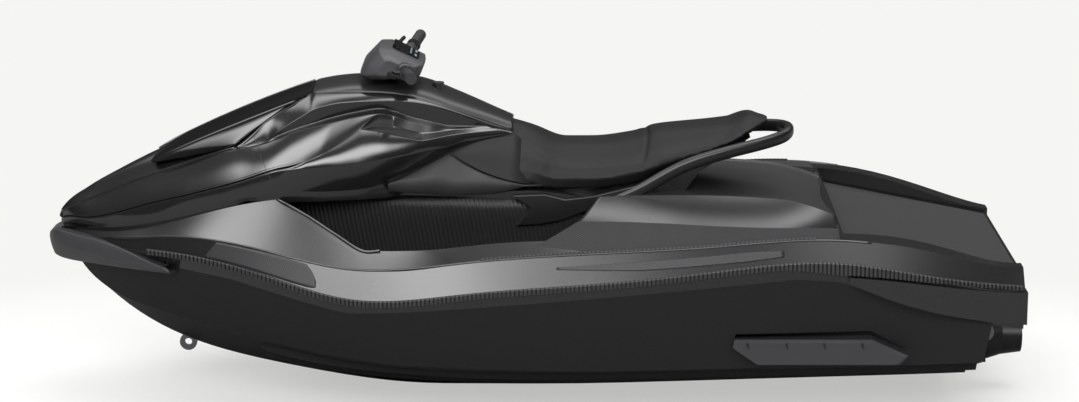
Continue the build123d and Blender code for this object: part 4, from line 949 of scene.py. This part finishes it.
def ribbed_strip(line, low, high, root, face, rib):
    """Rings of a strip along a line: a flat section whose outer face steps in and out between ribs.

    The outer face stands at face, or face less rib in a groove.
    """
    x = line[:, 0]
    proud = face - rib * (np.mod(x / RIB_PITCH, 1.0) > RIB_SHARE)
    zero = np.zeros_like(x)
    ring = [
        (zero - root, zero - low), (proud - 0.002, zero - low), (proud, 0.0015 - low),
        (proud, high - 0.0015), (proud - 0.002, zero + high), (zero - root, zero + high),
    ]
    offsets = np.stack([np.column_stack([zero, out, up + zero]) for out, up in ring], axis=1)
    return line[:, None, :] + offsets


def rib_columns(front, back):
    """Places along a ribbed strip, doubled at each rib's two flanks so that they stay steep."""
    first, last = math.ceil(back / RIB_PITCH), math.floor(front / RIB_PITCH)
    flanks = np.array([0.001, RIB_SHARE - 0.001, RIB_SHARE + 0.001, 0.999])
    steps = np.arange(first, last)[:, None] + flanks
    return (steps * RIB_PITCH).reshape(-1)[::-1]


def groove_marks(x):
    """1 for each step along a ribbed strip that lies in a groove, which takes the near-black painted shade.
    """
    return (np.arange(len(x) - 1) % 4 == 0).astype(int)


def rub_rails(rubber, dark):
    """The ribbed rub rails along the widest line, deeper in a wedge near the stern, their grooves painted
    near black as shade.
    """
    x = rib_columns(1.135, -1.395)
    line = fair_line(RAIL, x)
    low = np.interp(x, (-1.395, -1.15, -0.93, -0.85, -0.70), (0.006, 0.008, 0.022, 0.026, 0.0085))
    high = np.interp(x, (-1.395, -0.9, 1.0, 1.10), (0.006, 0.0085, 0.0085, 0.007))
    rings = ribbed_strip(line, low, high, 0.010, 0.0085, 0.0040)
    solid_pair("rub_rail_ribs", rings, [rubber, dark], "rub_rubber", "rub_rail", marks=groove_marks(x))


def gunwale_beads(rubber, dark, gloss):
    """Along the gunwale's top edge a rolled lip, and on its aft part a thin ribbed bead whose grooves are
    painted near black as shade.
    """
    x = rib_columns(0.16, -0.80)
    rings = ribbed_strip(fair_line(GUNWALE, x), 0.003, 0.007, 0.012, 0.002, 0.003)
    solid_pair("gunwale_bead", rings, [rubber, dark], "rub_rubber", marks=groove_marks(x))
    lip_path = fair_line(GUNWALE, np.linspace(1.25, -0.95, 160)) + (0.0, -0.001, 0.0)
    bead_pair("gunwale_lip", lip_path, 0.0035, 10, gloss)


PEDESTAL_OUT = 0.2245
RIB_LEAN = 0.18
KNEE_PITCH = 0.0125
KNEE_TOP = metres((-150, 345), (-50, 352), (200, 366), (520, 374), (735, 366))
# Footwell: where its floor ends and the ramp behind it tops out, along and up
RAMP = metres((145, 85), (-326, 330))


def ramp_up(x):
    """Height of the footwell's floor, then of the ramp behind it."""
    return np.interp(-x, -RAMP[:, 0], RAMP[:, 1])


def knee_ribs(padding):
    """Ribbed knee panels on the pedestal: leaning ribs, each a raised cosine, from floor to deck."""
    start = np.arange(KNEE_TOP[-1, 0], KNEE_TOP[0, 0], -KNEE_PITCH / 6)
    along, tall = np.meshgrid(start, np.linspace(0, 1, 9), indexing="ij")
    top = np.interp(along, KNEE_TOP[:, 0], KNEE_TOP[:, 1])
    foot = np.minimum(ramp_up(along) + 0.002, top - 0.004)
    up = foot + (top - foot) * tall
    x = along + RIB_LEAN * (up - 0.25)
    wave = 0.5 + 0.5 * np.cos(TURN * along / KNEE_PITCH)
    rim = np.minimum(1, 8 * np.minimum(tall, 1 - tall) + 0.2)
    out = PEDESTAL_OUT + 0.0015 + 0.0032 * wave**0.7 * rim
    sheet = np.stack([x, out, up], axis=-1)
    sheet_pair("knee_ribs", sheet, (1, 0), [padding], None, 0.003, "pad_rubber", "knee_pad")


# Side deck, port side: top of the hatched mat and top of the smooth strip above it
MAT_TOP = metres(
    (100, 430, 318), (-157, 400, 336), (-359, 400, 330), (-551, 400, 320), (-700, 400, 316),
    (-800, 398, 316), (-872, 394, 313),
)
STRIP_TOP = metres(
    (100, 250, 374), (-169, 250, 374), (-364, 250, 380), (-559, 250, 376), (-700, 250, 367),
    (-800, 250, 345), (-872, 250, 318),
)
MAT_LIFT = 0.004
MAT_WALL = 0.004
MAT_DROP = 0.045
MAT_FRONT = (0.050, -0.120, -0.185)
MAT_BACK = (-0.860, -0.868, -0.872)
CHAMFER = 0.013


def side_decks(foam, smooth):
    """Side decks: a hatched mat from the gunwale up, a smooth strip above it and a turned-in edge.

    Each line runs between its own front and back; ahead, a chamfer and a wall step down to the ramp.
    """
    run = np.linspace(0, 1, 70)
    along = [front + (back - front) * run for front, back in zip(MAT_FRONT, MAT_BACK)]
    gunwale = fair_line(GUNWALE, along[0]) + (0.0, -0.010, MAT_LIFT)
    mat_top, strip_top = smooth_line(MAT_TOP, along[1]), smooth_line(STRIP_TOP, along[2])
    inner = strip_top + (0.0, -0.012, -0.006)
    sheet, strips = between([gunwale, mat_top, strip_top, inner], [0.004, 0.005, 0.0], [10, 10, 2])
    chamfer = sheet[:1] + (CHAMFER, 0.0, -CHAMFER)
    foot = chamfer + (0.001, 0.0, 0.0)
    foot[..., 2] = np.minimum(ramp_up(foot[..., 0]), chamfer[..., 2] - 0.004)
    drop = sheet[-1:] + (-0.002, 0.0, -MAT_DROP)
    sheet = np.concatenate([foot, chamfer, sheet, drop], axis=0)
    marks = np.tile((strips > 0).astype(int), (len(sheet) - 1, 1))
    marks[:2] = 1
    marks = marks.reshape(-1)
    sheet_pair("side_deck", sheet, (0.3, 1), [foam, smooth], marks, MAT_WALL, "mat_foam", "side_deck_mat")


def rear_cover(foam):
    """The flat behind the saddle: level with the strips' inner edges, a little hollow across, then a drop."""
    x = np.append(np.linspace(-0.260, -0.872, 40), -0.874)
    edge = smooth_line(STRIP_TOP, x)
    across = np.linspace(-1, 1, 25)[None, :]
    up = edge[:, 2:3] - 0.005 - 0.010 * (1 - across**2)
    up[-1] -= MAT_DROP
    piece = new_piece("rear_cover", sheet_of(x, edge[:, 1:2] * 0.965 * across, up), (0, 0, 1), [foam])
    fit(wall(piece, MAT_WALL), "hull", "mat_foam")


# Steering pod: its outline on the centreline, along and up, and how that shrinks outwards, out and share
POD_OUTLINE = metres(
    (338, 692), (323, 730), (425, 777), (458, 777), (504, 730), (517, 697), (492, 684.5), (400, 684.5),
)
POD_HALF = [(0.030, 1.0), (0.080, 0.97), (0.112, 0.80), (0.130, 0.50)]
POD_MIDDLE = (0.415, 0.728)


def steering_pod(satin):
    """The steering pod: one eight-cornered outline carried across the craft, drawn in towards both ends."""
    ends = np.array([(-out, share) for out, share in POD_HALF[::-1]] + POD_HALF)
    profile = (POD_OUTLINE - POD_MIDDLE)[None] * ends[:, 1][:, None, None] + POD_MIDDLE
    out = np.broadcast_to(ends[:, :1], profile.shape[:2])
    rings = np.stack([profile[..., 0], out, profile[..., 1]], axis=-1)
    piece = solid_piece("pod_skin", rings, [satin], 0.005)
    fit(piece, "handlebar", "satin_trim", "handlebar_pod")


TICKS_ALONG = (-0.606, -0.717, -0.824, -0.932)
TICK_OUTLINE = metres((-2, -9), (4, -9), (9, 7), (6, 10), (0, 7))


def sponson_ticks(dark):
    """Four small slanted slots in each sponson's side, as near-black plates standing just proud of it:
    painted shade, no hollow.
    """
    out = np.full(len(TICK_OUTLINE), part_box("sponson_left")[1][1] - 0.004)
    for name, side in SIDES.items():
        for number, along in enumerate(TICKS_ALONG, 1):
            inner = np.column_stack([along + TICK_OUTLINE[:, 0], out, 0.004 + TICK_OUTLINE[:, 1]])
            rings = np.stack([inner, inner + (0.0, 0.0045, 0.0)])
            piece = solid_piece(f"sponson_slot_shade_{name}_{number}", mirrored(rings, side), [dark])
            fit(piece, "hull", "satin_trim")


def rounded_path(points, count):
    """A smooth run through points: a cubic through each stretch whose ends lean along their neighbours."""
    ahead = np.vstack([2 * points[0] - points[1], points, 2 * points[-1] - points[-2]])
    place = np.linspace(0, len(points) - 1 - 1e-9, count)
    left = place.astype(int)
    share = (place - left)[:, None]
    before, first, second, after = (ahead[left + step] for step in range(4))
    return 0.5 * (
        2 * first + (second - before) * share + (2 * before - 5 * first + 4 * second - after) * share**2
        + (3 * first - before - 3 * second + after) * share**3
    )


def tube(path, profile, lift):
    """Rings of a profile (aside, above) carried square to a path, its upright leaning towards a direction."""
    forward = np.gradient(path, axis=0)
    forward /= np.linalg.norm(forward, axis=1, keepdims=True)
    aside = np.cross(forward, np.asarray(lift, float))
    aside /= np.linalg.norm(aside, axis=1, keepdims=True)
    above = np.cross(aside, forward)
    return path[:, None] + profile[..., :1] * aside[:, None] + profile[..., 1:] * above[:, None]


def oval(half_wide, half_tall, count=18, power=0.75):
    """A rounded oblong: sine and cosine drawn towards its corners by a power below one."""
    turn = np.arange(count) / count * TURN
    wide = np.sign(np.cos(turn)) * np.abs(np.cos(turn)) ** power
    tall = np.sign(np.sin(turn)) * np.abs(np.sin(turn)) ** power
    return np.column_stack([half_wide * wide, half_tall * tall])


GRAB_RAIL = metres(
    (-225, 233, 352), (-300, 232, 386), (-394, 214, 436), (-463, 200, 464), (-562, 170, 487),
    (-663, 130, 504), (-722, 85, 513), (-748, 30, 518),
)
BRACKET_OUTLINE = metres(
    (67, 373), (-27, 377), (-87, 362), (-169, 372), (-300, 404), (-326, 398), (-288, 378), (-169, 336),
    (-75, 300), (-15, 288), (56, 284), (14, 335),
)
BRACKET_INNER = 0.2255
BRACKET_OUTER = 0.242


def grab_rail(coat):
    """The grab rail: a rounded bar carried along its bends, with a flat bracket plate at each foot."""
    path = rounded_path(np.vstack([GRAB_RAIL, mirrored(GRAB_RAIL[::-1], -1.0)]), 150)
    rings = tube(path, oval(0.0150, 0.0185), (0, 0, 1))
    fit(solid_piece("grab_bar", rings, [coat], smooth=True), "hull", "rail_tube", "grab_rail")
    inner = np.insert(BRACKET_OUTLINE, 1, BRACKET_INNER, axis=1)
    outer = inner + (0.0, BRACKET_OUTER - BRACKET_INNER, 0.0)
    solid_pair("rail_bracket", np.stack([inner, outer]), [coat], "rail_tube", edge=0.003)


FOOTWELL_EDGE = metres((782, 236), (760, 278), (735, 325), (655, 369), (574, 414), (494, 458), (440, 460.5))


def footwell_beads(gloss):
    """Rolled edges round the front of each footwell, at the height of the deck's side there."""
    along, out = FOOTWELL_EDGE.T
    gunwale, shoulder = fair_line(GUNWALE, along), fair_line(SHOULDER, along)
    up = gunwale[:, 2] + (shoulder - gunwale)[:, 2] * rise(out, gunwale[:, 1], shoulder[:, 1])
    bead_pair("footwell_bead", rounded_path(np.column_stack([along, out, up]), 60), 0.005, 12, gloss)


# Bow bumper, port side: its top, widest and bottom lines
BUMPER_TOP = metres(
    (1452, 0, 208), (1436, 40, 222), (1405, 78, 228), (1300, 168, 226), (1220, 226, 216), (1138, 284, 195),
    (1080, 318, 180),
)
BUMPER_WIDE = metres(
    (1454, 0, 192), (1438, 52, 190), (1405, 98, 190), (1300, 186, 186), (1200, 250, 180), (1112, 302, 173),
    (1060, 328, 169),
)
BUMPER_LOW = metres(
    (1448, 0, 160), (1432, 36, 146), (1400, 70, 142), (1300, 156, 148), (1200, 224, 152), (1108, 286, 157),
    (1050, 318, 160),
)


def bow_bumper(satin):
    """The bow bumper: two bowed faces between its top, widest and bottom lines, with turned-in edges."""
    run = np.linspace(0, 1, 60) ** 1.5
    lines = BUMPER_TOP, BUMPER_WIDE, BUMPER_LOW
    top, wide, low = (smooth_line(line, line[0, 0] + (line[-1, 0] - line[0, 0]) * run) for line in lines)
    above, below = (line + (-0.020, -0.025, 0.0) for line in (top, low))
    above[:, 1], below[:, 1] = np.maximum(above[:, 1], 0), np.maximum(below[:, 1], 0)
    half = between([above, top, wide, low, below], [0.0, 0.003, 0.003, 0.0], [2, 5, 5, 2])[0]
    closing = half[-1:] + (-0.002, -0.030, 0.0)
    half = np.concatenate([half, closing], axis=0)
    both = np.concatenate([mirrored(half[:0:-1], -1.0), half], axis=0)
    piece = new_piece("bow_bumper_skin", both, (0.3, 0, 0.1), [satin])
    fit(wall(piece, 0.005), "hull", "satin_trim", "bow_bumper")


# Woven panels between rub rail and gunwale: along, and the shares up the flank of their foot and top
FLANK_PANELS = {
    "fore": [
        (0.948, 0.20, 0.24), (0.915, 0.16, 0.94), (0.700, 0.14, 0.94), (0.650, 0.16, 0.92),
        (0.632, 0.18, 0.70), (0.622, 0.24, 0.45),
    ],
    "aft": [(-0.060, 0.60, 0.66), (-0.300, 0.40, 0.68), (-0.600, 0.34, 0.70), (-0.700, 0.40, 0.64)],
}


def flank_panels(weave):
    """Woven panels on the flank: at each x from a foot to a top share of the way from rub rail to gunwale."""
    for place, rows in FLANK_PANELS.items():
        rows = np.array(rows)
        x = np.linspace(rows[0, 0], rows[-1, 0], 50)
        foot = np.interp(-x, -rows[:, 0], rows[:, 1])
        top = np.interp(-x, -rows[:, 0], rows[:, 2])
        rail, gunwale = fair_line(RAIL, x), fair_line(GUNWALE, x)
        share = foot[:, None] + (top - foot)[:, None] * np.linspace(0, 1, 9)[None, :]
        sheet = rail[:, None] + (gunwale - rail)[:, None] * share[..., None]
        sheet = sheet + (0.0, 0.0022, 0.0010)
        sheet_pair(f"flank_panel_{place}", sheet, (1, 0.3), [weave], None, 0.003, "deck_shell")


PALE = (0.915, 0.915, 0.895, 1.0)
FLOOR_HALF = 40.0
FLOOR_TONE = (0.80, 0.80, 0.79, 1.0)
FLOOR_IN_GLOSS = (0.20, 0.20, 0.20, 1.0)
SHADOW_LONG = 2.6
SHADOW_WIDE = 1.5
HORIZON_LEVEL = 0.035
SKY_LEVEL = 0.18
# Windows of light: direction, half width, half height, softness of the edge, strength
LIGHT_BOXES = [
    ((0.04, 0.80, 0.58), 0.62, 0.20, 0.14, 7.4),
    ((-0.22, -0.04, 1.00), 0.42, 0.28, 0.20, 4.6),
    ((0.55, 0.04, 1.00), 0.20, 0.24, 0.14, 6.0),
    ((-0.10, -0.75, 0.66), 0.70, 0.14, 0.12, 1.6),
]


def stage_floor():
    """A pale floor just under the keel: the shadow shows near the craft, further off all is evenly pale."""
    corners = np.array([(-1, -1), (1, -1), (1, 1), (-1, 1)], float) * FLOOR_HALF
    mesh = bpy.data.meshes.new("floor")
    mesh.from_pydata(np.insert(corners, 2, KEEL_UP - 0.002, axis=1).tolist(), [], [(0, 1, 2, 3)])
    floor = placed("floor", mesh)
    shader = Finish("pale floor", FLOOR_TONE[:3], 0.9)
    in_gloss = shader.node("ShaderNodeLightPath", output="Is Glossy Ray")
    mesh.materials.append(shader.feed(Base_Color=shader.blend(in_gloss, FLOOR_TONE, FLOOR_IN_GLOSS)))
    x, y = shader.place()[:2]
    far = ((x / SHADOW_LONG).power(2.0) + (y / SHADOW_WIDE).power(2.0)).smooth(0.20, 1.2) * 0.45 + 0.55
    seen = shader.node("ShaderNodeLightPath", output="Is Camera Ray")
    glow = shader.node("ShaderNodeEmission", {}, {"Color": PALE, "Strength": 1.0})
    surface = Value(shader.tree, shader.principled.outputs[0])
    mixed = shader.node("ShaderNodeMixShader", {}, {0: far * seen, 1: surface, 2: glow})
    shader.tree.links.new(mixed.socket, shader.tree.nodes["Material Output"].inputs["Surface"])


def soft_box(place, towards, half_wide, half_tall, fade):
    """How far a direction lies within a soft-edged window in the sky, from 0 to 1."""
    towards = Vector(towards).normalized()
    aside = Vector((1.0, 0.0, 0.0))
    aside = (aside - towards * aside.dot(towards)).normalized()
    above = towards.cross(aside)

    def along(axis):
        return place[0] * axis[0] + place[1] * axis[1] + place[2] * axis[2]

    ahead = along(towards).math("MAXIMUM", 0.02)
    wide = 1 - (along(aside) / ahead).size().smooth(half_wide - fade, half_wide + fade)
    tall = 1 - (along(above) / ahead).size().smooth(half_tall - fade, half_tall + fade)
    return wide * tall


def camera():
    data = bpy.data.cameras.new("photo view")
    data.sensor_width = SENSOR_WIDTH
    data.lens = SENSOR_WIDTH * LENS_PER_WIDTH
    holder = placed("photo view", data)
    away = (0.0, math.cos(VIEW_ELEVATION), math.sin(VIEW_ELEVATION))
    holder.location = [t + VIEW_DISTANCE * a for t, a in zip(VIEW_TARGET, away)]
    holder.rotation_euler = (math.pi / 2 - VIEW_ELEVATION, 0.0, math.pi)
    bpy.context.scene.camera = holder


def studio():
    """Pale for the camera; for the craft a dark horizon, a dim sky and soft-edged windows of light."""
    world = bpy.data.worlds.new("studio")
    bpy.context.scene.world = world
    world.use_nodes = True
    shader = Shader(world.node_tree)
    seen = shader.node("ShaderNodeLightPath", output="Is Camera Ray")
    through = shader.node("ShaderNodeLightPath", output="Is Transmission Ray")
    place = shader.split(shader.node("ShaderNodeTexCoord", output="Generated"))
    level = place[2].smooth(0.25, 1.0) * SKY_LEVEL + HORIZON_LEVEL
    for *window, strength in LIGHT_BOXES:
        level = level + soft_box(place, *window) * strength
    around = shader.node("ShaderNodeCombineXYZ", {}, (level, level, level * 1.01))
    tint = shader.blend((seen + through).clamp(), around, PALE)
    world.node_tree.links.new(tint.socket, world.node_tree.nodes["Background"].inputs["Color"])


camera()
studio()
stage_floor()
cowl_sides(MATERIALS["gloss_cowl"], PAINTED_SLOT_SHADE)
console_skin(CONSOLE_SATIN)
hood_skin(MATERIALS["gloss_cowl"])
visor_skin(MATERIALS["visor_gloss"])
saddle_wings(MATERIALS["seat_vinyl"], MATERIALS["pad_rubber"])
saddle(MATERIALS["seat_vinyl"])
rub_rails(MATERIALS["rub_rubber"], PAINTED_SLOT_SHADE)
gunwale_beads(MATERIALS["rub_rubber"], PAINTED_SLOT_SHADE, MATERIALS["gloss_cowl"])
knee_ribs(MATERIALS["pad_rubber"])
side_decks(MATERIALS["mat_foam"], MATERIALS["deck_shell"])
sponson_ticks(PAINTED_SLOT_SHADE)
rear_cover(REAR_MATTE)
steering_pod(POD_SATIN)
grab_rail(MATERIALS["rail_tube"])
footwell_beads(MATERIALS["gloss_cowl"])
bow_bumper(MATERIALS["satin_trim"])
flank_panels(WEAVE_PANEL)
bpy.context.scene.view_settings.view_transform = "Standard"
